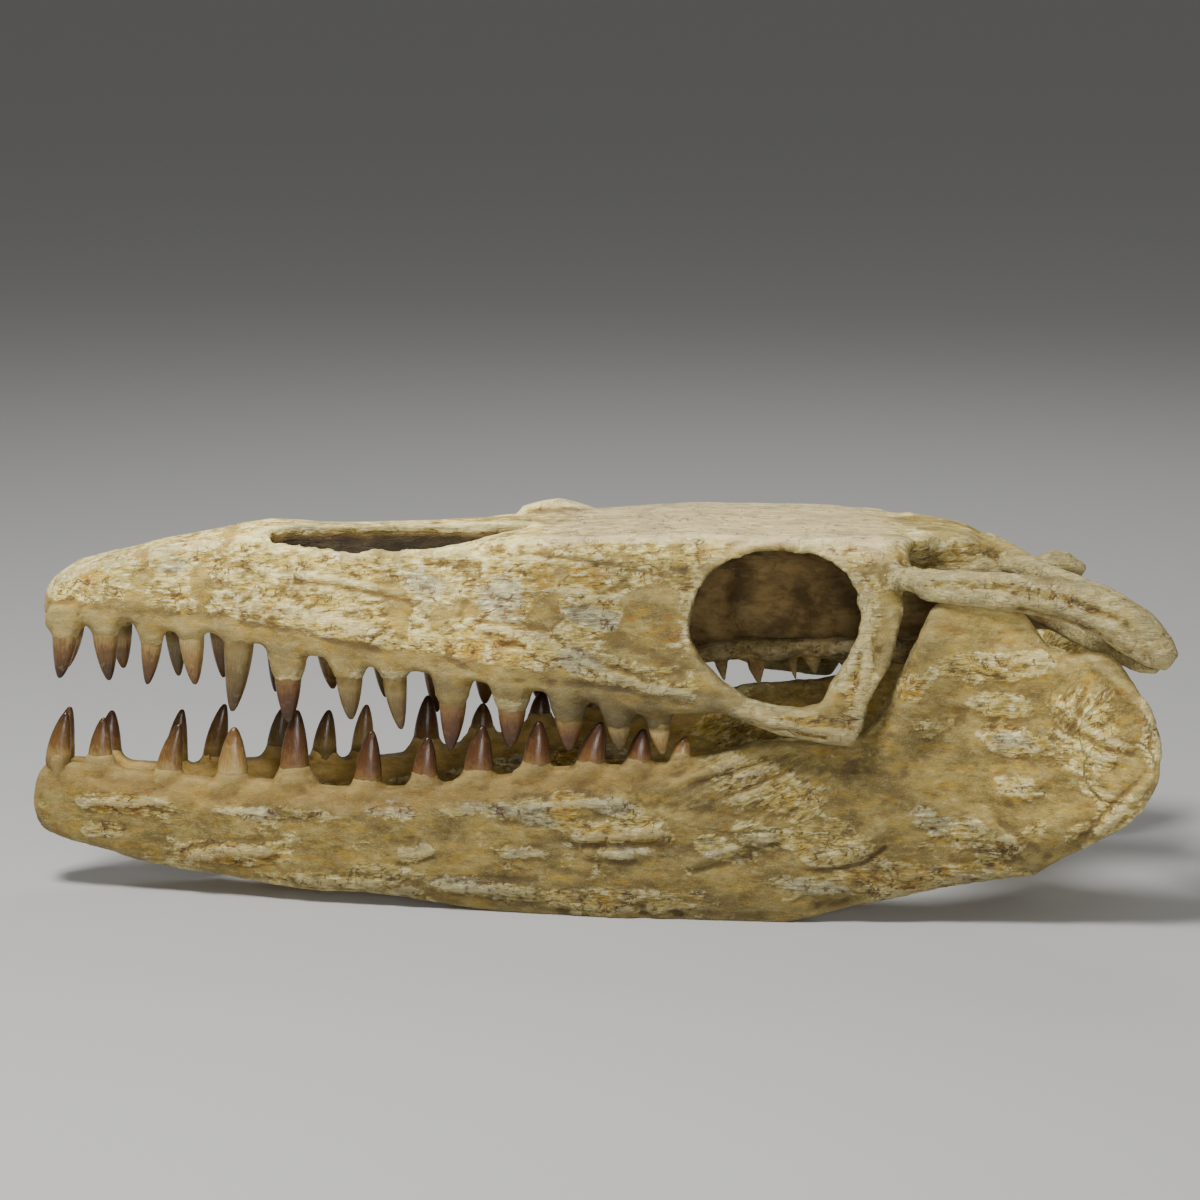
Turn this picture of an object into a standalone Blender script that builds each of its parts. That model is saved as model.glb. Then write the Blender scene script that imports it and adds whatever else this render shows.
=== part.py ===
"""Fossil mosasaur skull, mounted with its jaws open: the cranium, the two halves of the
lower jaw, the two pterygoid bones of the palate and all the teeth in their sockets.

The snout points to -X, the animal's left side faces -Y and +Z is up. The skull rests on the
flat undersides of its jaws at Z = 0. Sizes are in millimetres and become metres in place().
A station is a distance along the skull, measured backwards from the tip of the chin.
"""

import math

import bmesh
import bpy
import numpy as np
from mathutils import Matrix, Vector

MM = 0.001
LENGTH = 807.0
REST = 0.0
LEFT, RIGHT = -1, 1

SOCKET_GAP = 0.45
BONE_GAP = 0.45
MIDLINE_GAP = 0.2
ROOT_DEPTH = 10.0
TOOTH_SIDES = 7

CRANIUM_VOXEL = 3.2
JAW_VOXEL = 3.2
PTERYGOID_VOXEL = 2.0
CRANIUM_FACES = 2850
JAW_FACES = 740
PTERYGOID_FACES = 230

# Profiles of the cranium: station against height or half-width.
DORSAL_LINE = ((12, 219), (18, 228), (27, 236), (38, 242), (67, 250), (96, 257), (125, 262.5),
               (154, 268), (179, 271), (233, 270), (326, 272), (412, 275), (485, 276),
               (574, 274), (600, 272.5), (618, 271), (632, 269.5))
GUM_LINE = ((13, 202), (24, 196), (44, 196), (78, 202), (106, 194), (138, 195), (173, 187),
            (207, 182), (252, 175), (282, 173), (332, 167), (375, 162), (410, 155),
            (441, 149), (474, 151), (495, 154), (509, 149), (536, 139), (571, 133),
            (594, 131), (660, 133))
CHEEK_WIDTH = ((13, 10), (22, 17), (40, 23), (60, 28), (107, 35), (150, 45), (197, 55),
               (247, 64), (297, 73), (347, 83), (392, 91), (432, 99), (467, 108),
               (512, 117), (562, 122), (594, 125), (660, 127))
SHOULDER_WIDTH = ((8, 5), (20, 9), (60, 15), (107, 20), (150, 25), (191, 31), (220, 38),
                  (256, 45), (285, 50), (313, 53), (355, 57), (400, 62), (440, 67),
                  (480, 72), (600, 73), (616, 72), (632, 62))
SHOULDER_DROP = ((8, 6), (60, 6), (150, 5), (191, 5), (220, 8), (256, 11), (285, 13),
                 (313, 11), (355, 6), (400, 6), (480, 4), (660, 4))
CHEEK_FULLNESS = ((8, 1.0), (300, 1.0), (460, 0.6), (660, 0.5))
VAULT = 14.0
HEAD_SIDES = 18
SNUB_NOSE = (13, 0, 211)

# Profiles of one half of the lower jaw.
JAW_TOP = ((1, 67), (3, 80), (10, 93), (35, 95), (75, 91), (123, 87), (171, 89), (221, 85),
           (268, 88), (306, 93), (348, 101), (387, 109), (425, 111), (455, 113), (483, 119),
           (503, 124), (523, 131), (534, 131), (580, 133), (597, 138), (611, 158),
           (622, 182), (630, 196), (637, 212), (643, 228), (652, 236), (680, 234),
           (706, 226), (713, 216), (723, 204), (739, 198), (751, 201), (761, 199),
           (771, 192), (782, 178), (789, 167), (795, 155), (799, 142))
JAW_BOTTOM = ((1, 59), (3, 50), (10, 43), (34, 33.5), (49, 31), (78, 23), (108, 18.5),
              (152, 15), (181, 11), (211, 8), (269, 6), (298, 2), (326, -1), (355, -3),
              (540, -3), (567, 3), (595, 12), (622, 19), (650, 26), (677, 32), (715, 36),
              (731, 45), (748, 57), (764, 67), (784, 82), (793, 97), (800, 116))
JAW_MIDDLE = ((1, 6), (12, 8), (52, 12), (107, 19), (150, 30), (197, 40), (247, 49),
              (297, 58), (347, 68), (392, 76), (432, 82), (472, 86), (512, 90), (592, 98),
              (652, 104), (712, 112), (772, 123), (807, 128))
JAW_HALF_THICKNESS = ((1, 5), (12, 8), (52, 10.5), (107, 11), (297, 12), (472, 12),
                      (600, 11), (700, 10), (760, 12), (790, 11), (800, 8))
JAW_SIDES = 16
JAW_SQUARENESS = 0.62

# Openings of the skull's sides, as outlines of station and height.
ORBIT = ((475, 205), (476, 219), (481, 236), (491, 249), (505, 257), (520, 262), (540, 264),
         (558, 262), (574, 256), (586, 246), (594, 234), (596, 221), (593, 206), (585, 190),
         (574, 174), (567, 161), (552, 157), (535, 158), (515, 163), (497, 175), (483, 189))
BEHIND_ORBIT = ((593, 118), (597, 143), (598, 160), (605, 175), (614, 188), (619, 204),
                (624, 224), (624, 240), (640, 249), (700, 252), (700, 118))
NARIS_HALF_WIDTH = 14
NARIS = ((178, 24, 5), (200, 21, 9), (235, 22, 12), (270, 25, 14), (300, 27, 14),
         (330, 26, 11), (360, 22, 5))
NARIS_FLOOR, NARIS_BRIM, NARIS_TOP = 232.0, 262.0, 290.0
OUTSIDE = 150
ORBIT_INSIDE = 34
TEMPLE_INSIDE = 60

# The space under the roof between the cheeks: it starts with a slope at its front end.
HOLLOW_STATIONS = (452, 462, 480, 510, 540, 570, 600, 640, 700)
HOLLOW_START = 470
HOLLOW_WAIST, HOLLOW_FLARE, HOLLOW_MOUTH = 205, 150, 90
ROOF_THICKNESS = 13
SHOULDER_THICKNESS = 9
CHEEK_THICKNESS = 13
HOLLOW_CEILING = 262

# Ridges on the rim of the orbit and on the plate of bone around the jaw's back end, as
# points of station, distance from the midline and height.
ORBIT_LIP = tuple((s, 118 - (z - 140) * 0.36, z) for s, z in ORBIT + ORBIT[:1])
PLATE_RIM = ((799, 138, 142), (796, 138, 112), (770, 138, 74), (735, 138, 50))
PLATE_CREST = ((795, 139, 122), (770, 134, 100), (745, 129, 74))

# Bars of bone as points of station, distance from the midline, height and two half-sizes,
# first sideways and then up.
TEMPORAL_BAR = ((610, 78, 250, 8, 8), (632, 96, 244, 9, 8.5), (655, 104, 243, 10, 10.5),
                (685, 110, 241, 10, 12.5), (712, 118, 238.5, 11, 14), (740, 125, 235, 12, 15.5),
                (762, 131, 227, 13, 17), (781, 137, 215.5, 13, 17), (795, 142, 204, 10, 13),
                (804, 145, 197, 6, 7))
TEMPORAL_BAR_RIGHT = ((610, 78, 250, 8, 8), (632, 96, 243, 9, 8.5), (655, 103, 240, 10, 10),
                      (685, 108, 233, 10, 12), (712, 113, 222, 11, 13),
                      (735, 117, 210, 12, 14), (752, 120, 199, 12, 13), (762, 122, 190, 8, 8))
PARIETAL_WING = ((686, 8, 256, 9, 9), (706, 24, 248, 9, 9), (724, 44, 240, 8, 9),
                 (746, 78, 236, 8, 9), (762, 112, 233, 8, 10), (768, 128, 228, 8, 10))
PARIETAL_WING_RIGHT = ((686, 8, 254, 9, 9), (704, 24, 240, 9, 9), (722, 46, 226, 8, 9),
                       (736, 78, 212, 8, 9), (746, 108, 204, 8, 9), (750, 118, 201, 8, 9))
PAROCCIPITAL_BAR = ((722, 12, 214, 12, 13), (736, 40, 208, 9, 10), (752, 74, 203, 7, 9),
                    (772, 104, 197, 7, 9), (788, 126, 193, 7, 8), (796, 134, 192, 5, 6))
PAROCCIPITAL_BAR_RIGHT = ((722, 12, 212, 12, 13), (732, 40, 200, 9, 10), (744, 74, 190, 7, 9),
                          (756, 100, 184, 7, 8), (764, 114, 183, 6, 7))
NARIS_HUMP_RIGHT = ((356, 40, 270, 6, 4), (370, 40, 272.5, 8, 5), (383, 40, 274, 9, 6),
                    (395, 40, 272.5, 8, 5), (408, 40, 270, 6, 3))
OCCIPITAL_KNOB = ((718, 0, 230, 9, 9), (730, 0, 236, 9, 9), (741, 0, 240.5, 9, 9),
                  (748, 0, 240.5, 9, 8), (755, 0, 237, 8, 5.5), (762, 0, 234, 6, 5))
OCCIPITAL_CONDYLE = ((700, 0, 208, 20, 18), (730, 0, 206, 18, 15), (748, 0, 203, 15, 13),
                     (757, 0, 201, 9, 8))
PTERYGOID_BAR = ((440, 34, 170, 5, 5), (460, 33, 176, 7, 7), (500, 31, 182, 7.5, 7),
                 (540, 31, 184, 7.5, 7), (575, 33, 184, 7.5, 7), (615, 44, 184, 7, 8),
                 (655, 66, 186, 6, 9), (690, 86, 190, 5, 9), (712, 102, 193, 4, 8))
PTERYGOID_TEETH = ((478, 32, 5, 18), (499, 31, 6, 25), (524, 31, 8, 28), (550, 32, 4.5, 24),
                   (564, 32, 7, 20), (586, 35, 5, 17))
PTERYGOID_TOOTH_FOOT = 184.0

# The braincase: station, roof height, floor height, half-width at the roof and below it.
BRAINCASE = ((452, 262, 190, 9, 7), (480, 264, 182, 14, 8), (520, 264, 178, 22, 13),
             (560, 264, 176, 28, 15), (600, 266, 176, 70, 18), (618, 268, 178, 64, 22),
             (636, 269, 180, 48, 24), (655, 269, 184, 36, 25), (676, 266, 188, 29, 27),
             (692, 258, 190, 25, 28), (708, 247, 192, 23, 29), (724, 239, 195, 20, 27),
             (738, 234, 198, 15, 20))

# Teeth from front to back: station and height of the crown's base, its half-width, and
# station and height of the tip.
UPPER_TEETH = ((29, 194, 9.5, 24, 158), (58, 196, 9.5, 60, 157), (92, 191, 8, 88, 155),
               (121, 196, 9.5, 123, 156), (156, 194, 11, 150, 138), (191, 170, 10, 191, 132),
               (235, 173, 10, 236, 136), (267.5, 173, 9, 272, 130), (309, 156, 10, 307, 117),
               (351, 154, 10.5, 349.5, 121), (391, 148, 10, 391.5, 120),
               (426, 146, 9, 427, 122), (454, 145, 8, 457, 120))
LOWER_TEETH = ((20, 95, 9.5, 27, 132.5), (51, 94.5, 9.5, 54.5, 129), (101, 86.5, 10, 110, 126),
               (148.5, 87, 11.5, 150.5, 126), (194, 93, 11, 196.5, 141),
               (247, 87, 10.5, 250.5, 128), (288, 93, 9.5, 291, 125),
               (326.5, 98, 11, 330, 135), (368, 106, 10.5, 370, 140),
               (406, 108, 11, 414, 141), (440, 111, 9.5, 443.5, 137),
               (469, 115, 8, 473.5, 132.5))
UPPER_TEETH_RIGHT = ((29, 194, 9.5, 24, 158), (63, 196, 9.5, 65, 157),
                     (103, 192, 8.5, 104.5, 150), (135, 195, 9, 136.5, 147),
                     (177, 186, 10, 174, 134), (213, 172, 10, 215.5, 135),
                     (252, 173, 9.5, 254, 127), (290, 163, 9.5, 291.5, 114),
                     (328, 156, 10, 327, 119), (368, 152, 10, 367, 121),
                     (406, 148, 10, 405, 121), (436, 146, 8.5, 437, 123),
                     (461, 146, 8, 463, 122))
LOWER_TEETH_RIGHT = ((20, 95, 9.5, 27, 132), (54, 94, 9.5, 57, 128.5), (102, 87, 9, 107.5, 128),
                     (130, 88, 9.5, 138, 130.5), (176, 91, 9.5, 179.5, 125),
                     (209, 87, 9.5, 213, 122), (237, 87, 9, 240.5, 125),
                     (284, 93, 10, 285.5, 130), (325, 98, 9.5, 326, 122),
                     (368, 106, 9, 370, 130), (408, 109, 9, 412, 132), (440, 112, 8.5, 443, 132),
                     (470, 116, 7.5, 473, 131))
LOWER_ROW = ((12, 9), (52, 13), (107, 20), (150, 31), (197, 41), (247, 50), (297, 59),
             (347, 69), (392, 77), (432, 84), (472, 89))
UPPER_ROW_OUTSIDE_LOWER = 7.0
TOOTH_FLATNESS = 0.82

BONE_COLOUR = (0.42, 0.31, 0.16)
JAW_COLOUR = (0.40, 0.29, 0.14)
PALATE_COLOUR = (0.30, 0.20, 0.10)
TOOTH_COLOUR = (0.28, 0.13, 0.05)
BONE_ROUGHNESS = 0.78
TOOTH_ROUGHNESS = 0.38


def clear_scene():
    """Remove whatever objects the file already holds."""
    for old in list(bpy.data.objects):
        bpy.data.objects.remove(old, do_unlink=True)


def place(station, y, z):
    """A point of the skull in metres, from its station, side distance and height."""
    return Vector(((station - LENGTH / 2) * MM, y * MM, z * MM))


def at(table, station, column=1):
    """Read one column of a table of stations, in straight steps between its rows."""
    return float(np.interp(station, [row[0] for row in table], [row[column] for row in table]))


def spaced(start, end, step):
    """Stations from start to end, about one step apart."""
    return np.linspace(start, end, max(2, round((end - start) / step) + 1))


def skin(rings, sides):
    """A closed skin through rings of points, all of them with the same number of sides."""
    bm = bmesh.new()
    grid = bmesh.ops.create_grid(bm, x_segments=sides, y_segments=len(rings) - 1, size=1.0)
    for vert in grid["verts"]:
        row = round((vert.co.y + 1) / 2 * (len(rings) - 1))
        column = round((vert.co.x + 1) / 2 * sides) % sides
        vert.co = rings[row][column]
    bmesh.ops.remove_doubles(bm, verts=bm.verts, dist=0.01 * MM)
    bmesh.ops.holes_fill(bm, edges=bm.edges, sides=0)
    bmesh.ops.recalc_face_normals(bm, faces=bm.faces)
    return bm


def add_object(name, bm):
    """Put a bmesh into the scene under a name."""
    mesh = bpy.data.meshes.new(name)
    bm.to_mesh(mesh)
    bm.free()
    made = bpy.data.objects.new(name, mesh)
    bpy.context.scene.collection.objects.link(made)
    return made


def finish_modifiers(made):
    """Turn an object's modifiers into its mesh."""
    graph = bpy.context.evaluated_depsgraph_get()
    mesh = bpy.data.meshes.new_from_object(made.evaluated_get(graph), depsgraph=graph)
    made.modifiers.clear()
    made.data = mesh
    mesh.name = made.name


def discard(*spent):
    """Remove construction objects that have done their work."""
    for each in spent:
        bpy.data.objects.remove(each, do_unlink=True)


def merge(name, pieces):
    """Join construction objects into one object, still as overlapping shells."""
    bm = bmesh.new()
    for piece in pieces:
        bm.from_mesh(piece.data)
    discard(*pieces)
    return add_object(name, bm)


def subtract(target, cutter):
    """Cut one object out of another."""
    cut = target.modifiers.new("cut", "BOOLEAN")
    cut.operation = "DIFFERENCE"
    cut.solver = "EXACT"
    cut.object = cutter
    finish_modifiers(target)


def fuse_bone(made, voxel, smoothing):
    """Melt overlapping shells into one skin and round their joins, as bone and cement are."""
    remesh = made.modifiers.new("fuse", "REMESH")
    remesh.mode = "VOXEL"
    remesh.voxel_size = voxel * MM
    smooth = made.modifiers.new("round", "SMOOTH")
    smooth.factor = 0.5
    smooth.iterations = smoothing
    finish_modifiers(made)


def coarsen(made, faces):
    """Thin the mesh to about a number of triangles."""
    made.data.calc_loop_triangles()
    thin = made.modifiers.new("thin", "DECIMATE")
    thin.ratio = min(1.0, faces / len(made.data.loop_triangles))
    thin.use_collapse_triangulate = True
    finish_modifiers(made)


def superellipse(angle, power):
    """A point on a unit outline between a circle (power 1) and a square (power 0)."""
    c, s = math.cos(angle), math.sin(angle)
    return (math.copysign(abs(c) ** power, c), math.copysign(abs(s) ** power, s))


def bar(name, points, side, sides=12):
    """A rod of bone with an oval section, through points of a table of bars."""
    path = [place(s, side * y, z) for s, y, z, _, _ in points]
    rings = []
    for index, (_, _, _, sideways, upwards) in enumerate(points):
        forward = path[min(index + 1, len(path) - 1)] - path[max(index - 1, 0)]
        across = forward.cross(Vector((0, 0, 1))).normalized()
        up = across.cross(forward).normalized()
        ring = []
        for step in range(sides):
            c, s = superellipse(2 * math.pi * step / sides, 0.8)
            ring.append(path[index] + (across * c * sideways + up * s * upwards) * MM)
        rings.append(ring)
    return add_object(name, skin(rings, sides))


def plate(name, outline, near, far):
    """A flat plate with an outline of station and height, between two side distances."""
    bm = bmesh.new()
    face = bm.faces.new([bm.verts.new(place(s, near, z)) for s, z in outline])
    grown = bmesh.ops.extrude_face_region(bm, geom=[face])
    moved = [part for part in grown["geom"] if isinstance(part, bmesh.types.BMVert)]
    bmesh.ops.translate(bm, verts=moved, vec=(0, (far - near) * MM, 0))
    bmesh.ops.recalc_face_normals(bm, faces=bm.faces)
    return add_object(name, bm)


def press(made, path, reach, push):
    """Raise or sink the surface along a path of points, out to a reach."""
    verts = made.data.vertices
    here = np.empty(len(verts) * 3)
    verts.foreach_get("co", here)
    here = here.reshape(-1, 3)
    normal = np.empty(len(verts) * 3)
    verts.foreach_get("normal", normal)
    normal = normal.reshape(-1, 3)
    nearest = np.full(len(here), 1e9)
    for start, end in zip(path[:-1], path[1:]):
        start, along = np.array(start), np.array(end) - np.array(start)
        part = np.clip((here - start) @ along / max(along @ along, 1e-12), 0, 1)
        nearest = np.minimum(nearest, np.linalg.norm(here - start - part[:, None] * along, axis=1))
    lift = push * MM * np.exp(-(nearest / (reach * MM)) ** 2)
    verts.foreach_set("co", (here + normal * lift[:, None]).ravel())
    made.data.update()


def head_ring(station):
    """One ring of the head's outside: roof, shoulders, cheeks and a vaulted underside."""
    top = at(DORSAL_LINE, station)
    gum = at(GUM_LINE, station)
    cheek = at(CHEEK_WIDTH, station)
    shoulder = min(at(SHOULDER_WIDTH, station), cheek * 0.9)
    drop = at(SHOULDER_DROP, station)
    full = at(CHEEK_FULLNESS, station)
    height = top - drop - gum
    spread = cheek - shoulder
    vault = min(VAULT, cheek * 0.35)
    half = [(0.0, top), (shoulder * 0.5, top - drop * 0.3), (shoulder, top - drop),
            (shoulder + spread * (0.33 + 0.27 * full), gum + height * 0.67),
            (shoulder + spread * (0.67 + 0.25 * full), gum + height * 0.33),
            (cheek, gum + 5), (cheek - 4, gum), (cheek * 0.62, gum + vault * 0.35),
            (cheek * 0.3, gum + vault * 0.8), (0.0, gum + vault)]
    points = half + [(-y, z) for y, z in half[-2:0:-1]]
    return [place(station, y, z) for y, z in points]


def head_block():
    """The solid wedge of snout and cheeks, back to behind the orbits."""
    stations = [12, 14, 18, 26, *spaced(36, 632, 12)]
    rings = [head_ring(station) for station in stations]
    snub = place(*SNUB_NOSE)
    rings[0] = [snub + (point - snub) * 0.8 for point in rings[0]]
    return add_object("head", skin(rings, HEAD_SIDES))


def cheek_hollow():
    """The space under the roof between the cheeks, open below and behind."""
    rings = []
    for station in HOLLOW_STATIONS:
        ahead = max(0, HOLLOW_START - station)
        roof = min(at(DORSAL_LINE, station) - ROOF_THICKNESS, HOLLOW_CEILING) - ahead * 1.5
        wide_top = at(SHOULDER_WIDTH, station) - SHOULDER_THICKNESS
        wide_low = at(CHEEK_WIDTH, station) - CHEEK_THICKNESS - ahead * 0.6
        half = [(0, roof), (wide_top, roof - 2), ((wide_top + wide_low) / 2, HOLLOW_WAIST),
                (wide_low, HOLLOW_FLARE), (wide_low + 1, HOLLOW_MOUTH), (0, HOLLOW_MOUTH)]
        points = half + [(-y, z) for y, z in half[-2:0:-1]]
        rings.append([place(station, y, z) for y, z in points])
    return add_object("hollow", skin(rings, len(rings[0])))


def naris_pit(side):
    """One long nostril pit beside the bar between the nostrils."""
    rings = []
    for station, middle, half in NARIS:
        ring = []
        for step in range(12):
            c, s = superellipse(2 * math.pi * step / 12, 0.8)
            depth = NARIS_TOP if s > 0 else NARIS_FLOOR + (NARIS_HALF_WIDTH - half) * 1.6
            height = NARIS_BRIM + (depth - NARIS_BRIM) * abs(s)
            ring.append(place(station, side * (middle + c * half), height))
        rings.append(ring)
    return add_object("naris", skin(rings, 12))


def braincase():
    """The bone between the orbits and around the brain, under the parietal table."""
    rings = []
    for station, roof, floor, wide, narrow in BRAINCASE:
        half = [(0, roof), (wide, roof - 1), (wide, roof - 9), (narrow, roof - 20),
                (narrow, floor + 12), (narrow * 0.7, floor + 2), (0, floor)]
        points = half + [(-y, z) for y, z in half[-2:0:-1]]
        rings.append([place(station, y, z) for y, z in points])
    return add_object("braincase", skin(rings, len(rings[0])))


def tooth_rings(station, row, height, half, tip_station, tip_height, side, grow=0.0):
    """Rings and the path of one tooth, from the foot of its root to near its tip."""
    rise = tip_height - height
    up = math.copysign(1, rise)
    lean = (tip_station - station) / rise
    steps = ((-ROOT_DEPTH - grow, 0.80), (0, 1.0), (0.5, 0.66))
    rings = []
    for index, (step, width) in enumerate(steps):
        if index == 0:
            middle = (station + lean * 0.3 * up * step, height + up * step)
        else:
            middle = (station + (tip_station - station) * step ** 1.5, height + rise * step)
        ring = []
        for turn in range(TOOTH_SIDES):
            angle = 2 * math.pi * (turn + 0.5) / TOOTH_SIDES
            wide = (half * width + grow) * math.cos(angle)
            thick = (half * width * TOOTH_FLATNESS + grow) * math.sin(angle)
            ring.append(place(middle[0] + wide, side * (row + thick), middle[1]))
        rings.append(ring)
    return rings


def tooth(name, station, row, height, half, tip_station, tip_height, side, grow=0.0):
    """One tooth with its root, or the cutter of its socket where it is grown."""
    rings = tooth_rings(station, row, height, half, tip_station, tip_height, side, grow)
    bm = skin(rings, TOOTH_SIDES)
    bm.faces.ensure_lookup_table()
    tip = place(tip_station, side * row, tip_height)
    middle = sum(rings[-1], Vector()) / TOOTH_SIDES
    cap = min(bm.faces, key=lambda face: (face.calc_center_median() - middle).length)
    poked = bmesh.ops.poke(bm, faces=[cap])
    poked["verts"][0].co = tip + (tip - middle).normalized() * grow * MM
    bmesh.ops.recalc_face_normals(bm, faces=bm.faces)
    return add_object(name, bm)


def row_place(station, upper):
    """Distance of a tooth from the midline."""
    return at(LOWER_ROW, station) + (UPPER_ROW_OUTSIDE_LOWER if upper else 0)


def collar(name, station, row, height, half, side, up):
    """The swelling of bone around a tooth's root."""
    points = ((station, row, height - up * 1, half * 0.82, half * 1.04),
              (station, row, height + up * 8, half * 0.92, half * 1.2),
              (station, row, height + up * 22, half * 0.7, half * 0.9))
    rings = []
    for s, y, z, thick, wide in points:
        ring = []
        for step in range(10):
            angle = 2 * math.pi * step / 10
            ring.append(place(s + wide * math.cos(angle), side * (y + thick * math.sin(angle)), z))
        rings.append(ring)
    return add_object(name, skin(rings, 10))


def make_cranium():
    """The cranium: snout, cheeks, orbits, roof, temporal bars and braincase as one bone."""
    head = head_block()
    for cutter in (cheek_hollow(), naris_pit(LEFT), naris_pit(RIGHT),
                   plate("orbits", ORBIT, -OUTSIDE, -ORBIT_INSIDE),
                   plate("orbits", ORBIT, ORBIT_INSIDE, OUTSIDE),
                   plate("temples", BEHIND_ORBIT, -OUTSIDE, -TEMPLE_INSIDE),
                   plate("temples", BEHIND_ORBIT, TEMPLE_INSIDE, OUTSIDE)):
        subtract(head, cutter)
        discard(cutter)
    pieces = [head, braincase(), bar("knob", OCCIPITAL_KNOB, LEFT),
              bar("condyle", OCCIPITAL_CONDYLE, LEFT)]
    for points in (TEMPORAL_BAR, PARIETAL_WING, PAROCCIPITAL_BAR):
        pieces.append(bar("arch", points, LEFT))
    for points in (TEMPORAL_BAR_RIGHT, PARIETAL_WING_RIGHT, PAROCCIPITAL_BAR_RIGHT,
                   NARIS_HUMP_RIGHT):
        pieces.append(bar("arch", points, RIGHT))
    for side in (LEFT, RIGHT):
        for station, height, half, _, _ in UPPER_TEETH if side == LEFT else UPPER_TEETH_RIGHT:
            pieces.append(collar("collar", station, row_place(station, True), height, half,
                                 side, 1))
    cranium = merge("cranium", pieces)
    fuse_bone(cranium, CRANIUM_VOXEL, 4)
    for side in (LEFT, RIGHT):
        press(cranium, [place(s, side * y, z) for s, y, z in ORBIT_LIP], 6, 1.5)
    coarsen(cranium, CRANIUM_FACES)
    return cranium


def jaw_ring(station, side):
    """One upright ring of a jaw: flat-sided, rounded above and below."""
    top, bottom = at(JAW_TOP, station), at(JAW_BOTTOM, station)
    if side == RIGHT and station > TEMPORAL_BAR_RIGHT[1][0]:
        top = min(top, max(at(TEMPORAL_BAR_RIGHT, station, 2), bottom + 30))
    middle = at(JAW_MIDDLE, station)
    half = at(JAW_HALF_THICKNESS, station)
    ring = []
    for step in range(JAW_SIDES):
        c, s = superellipse(2 * math.pi * step / JAW_SIDES, JAW_SQUARENESS)
        height = (top + bottom) / 2 + s * (top - bottom) / 2
        ring.append(place(station, side * (middle + c * half), height))
    return ring


def make_jaw(name, side):
    """One half of the lower jaw, with the quadrate cemented to its back end."""
    stations = [1, 3, 7, 12, 20, *spaced(30, 590, 14), *spaced(597, 655, 6),
                *spaced(667, 700, 11), *spaced(706, 740, 6), *spaced(750, 795, 7), 799]
    rings = [jaw_ring(station, side) for station in stations]
    pieces = [add_object("jaw", skin(rings, JAW_SIDES))]
    for station, height, half, _, _ in LOWER_TEETH if side == LEFT else LOWER_TEETH_RIGHT:
        pieces.append(collar("collar", station, row_place(station, False), height, half,
                             side, -1))
    jaw = merge(name, pieces)
    fuse_bone(jaw, JAW_VOXEL, 3)
    press(jaw, [place(s, side * y, z) for s, y, z in PLATE_RIM], 10, 2.0)
    press(jaw, [place(s, side * y, z) for s, y, z in PLATE_CREST], 6, 2.5)
    coarsen(jaw, JAW_FACES)
    trim_flat(jaw, (0, 0, REST), (0, 0, -1))
    trim_flat(jaw, (0, side * MIDLINE_GAP * MM, 0), (0, -side, 0))
    return jaw


def trim_flat(made, point, outward):
    """Cut away what lies outside a plane and close the cut with a flat face."""
    bm = bmesh.new()
    bm.from_mesh(made.data)
    cut = bmesh.ops.bisect_plane(bm, geom=bm.verts[:] + bm.edges[:] + bm.faces[:],
                                 plane_co=point, plane_no=outward, clear_outer=True)
    edges = [part for part in cut["geom_cut"] if isinstance(part, bmesh.types.BMEdge)]
    if edges:
        bmesh.ops.contextual_create(bm, geom=edges)
    bmesh.ops.triangulate(bm, faces=bm.faces)
    bm.to_mesh(made.data)
    bm.free()


def make_pterygoid(name, side):
    """One pterygoid: a slender palate bone with its own short row of fused teeth."""
    pieces = [bar("bone", PTERYGOID_BAR, side, 10)]
    for station, row, half, length in PTERYGOID_TEETH:
        rings = []
        for lean, depth, width in ((0, 0, 1.0), (0.8, 0.55, 0.75), (3, 1.0, 0.25)):
            middle = (station + lean, PTERYGOID_TOOTH_FOOT - length * depth)
            ring = []
            for step in range(8):
                c, s = math.cos(math.pi * step / 4), math.sin(math.pi * step / 4)
                ring.append(place(middle[0] + half * width * c,
                                  side * (row + min(half, 5) * width * s), middle[1]))
            rings.append(ring)
        pieces.append(add_object("tooth", skin(rings, 8)))
    pterygoid = merge(name, pieces)
    fuse_bone(pterygoid, PTERYGOID_VOXEL, 1)
    coarsen(pterygoid, PTERYGOID_FACES)
    return pterygoid


def carve(target, neighbour, gap):
    """Trim one bone where it meets another, leaving a gap like a cement line."""
    cutter = bpy.data.objects.new("cutter", neighbour.data.copy())
    bpy.context.scene.collection.objects.link(cutter)
    swell = cutter.modifiers.new("swell", "DISPLACE")
    swell.strength = gap * MM
    swell.mid_level = 0.0
    finish_modifiers(cutter)
    subtract(target, cutter)
    discard(cutter)


def keep_largest(made):
    """Drop loose crumbs that a trim has left beside the bone."""
    bm = bmesh.new()
    bm.from_mesh(made.data)
    loose = [vert for vert in bm.verts if not vert.link_faces]
    bmesh.ops.delete(bm, geom=loose, context="VERTS")
    waiting = set(bm.verts)
    groups = []
    while waiting:
        group, front = set(), [next(iter(waiting))]
        while front:
            vert = front.pop()
            if vert in group:
                continue
            group.add(vert)
            front.extend(edge.other_vert(vert) for edge in vert.link_edges)
        groups.append(group)
        waiting -= group
    groups.sort(key=len)
    for group in groups[:-1]:
        bmesh.ops.delete(bm, geom=list(group), context="VERTS")
    bmesh.ops.triangulate(bm, faces=bm.faces)
    bm.to_mesh(made.data)
    bm.free()


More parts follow.
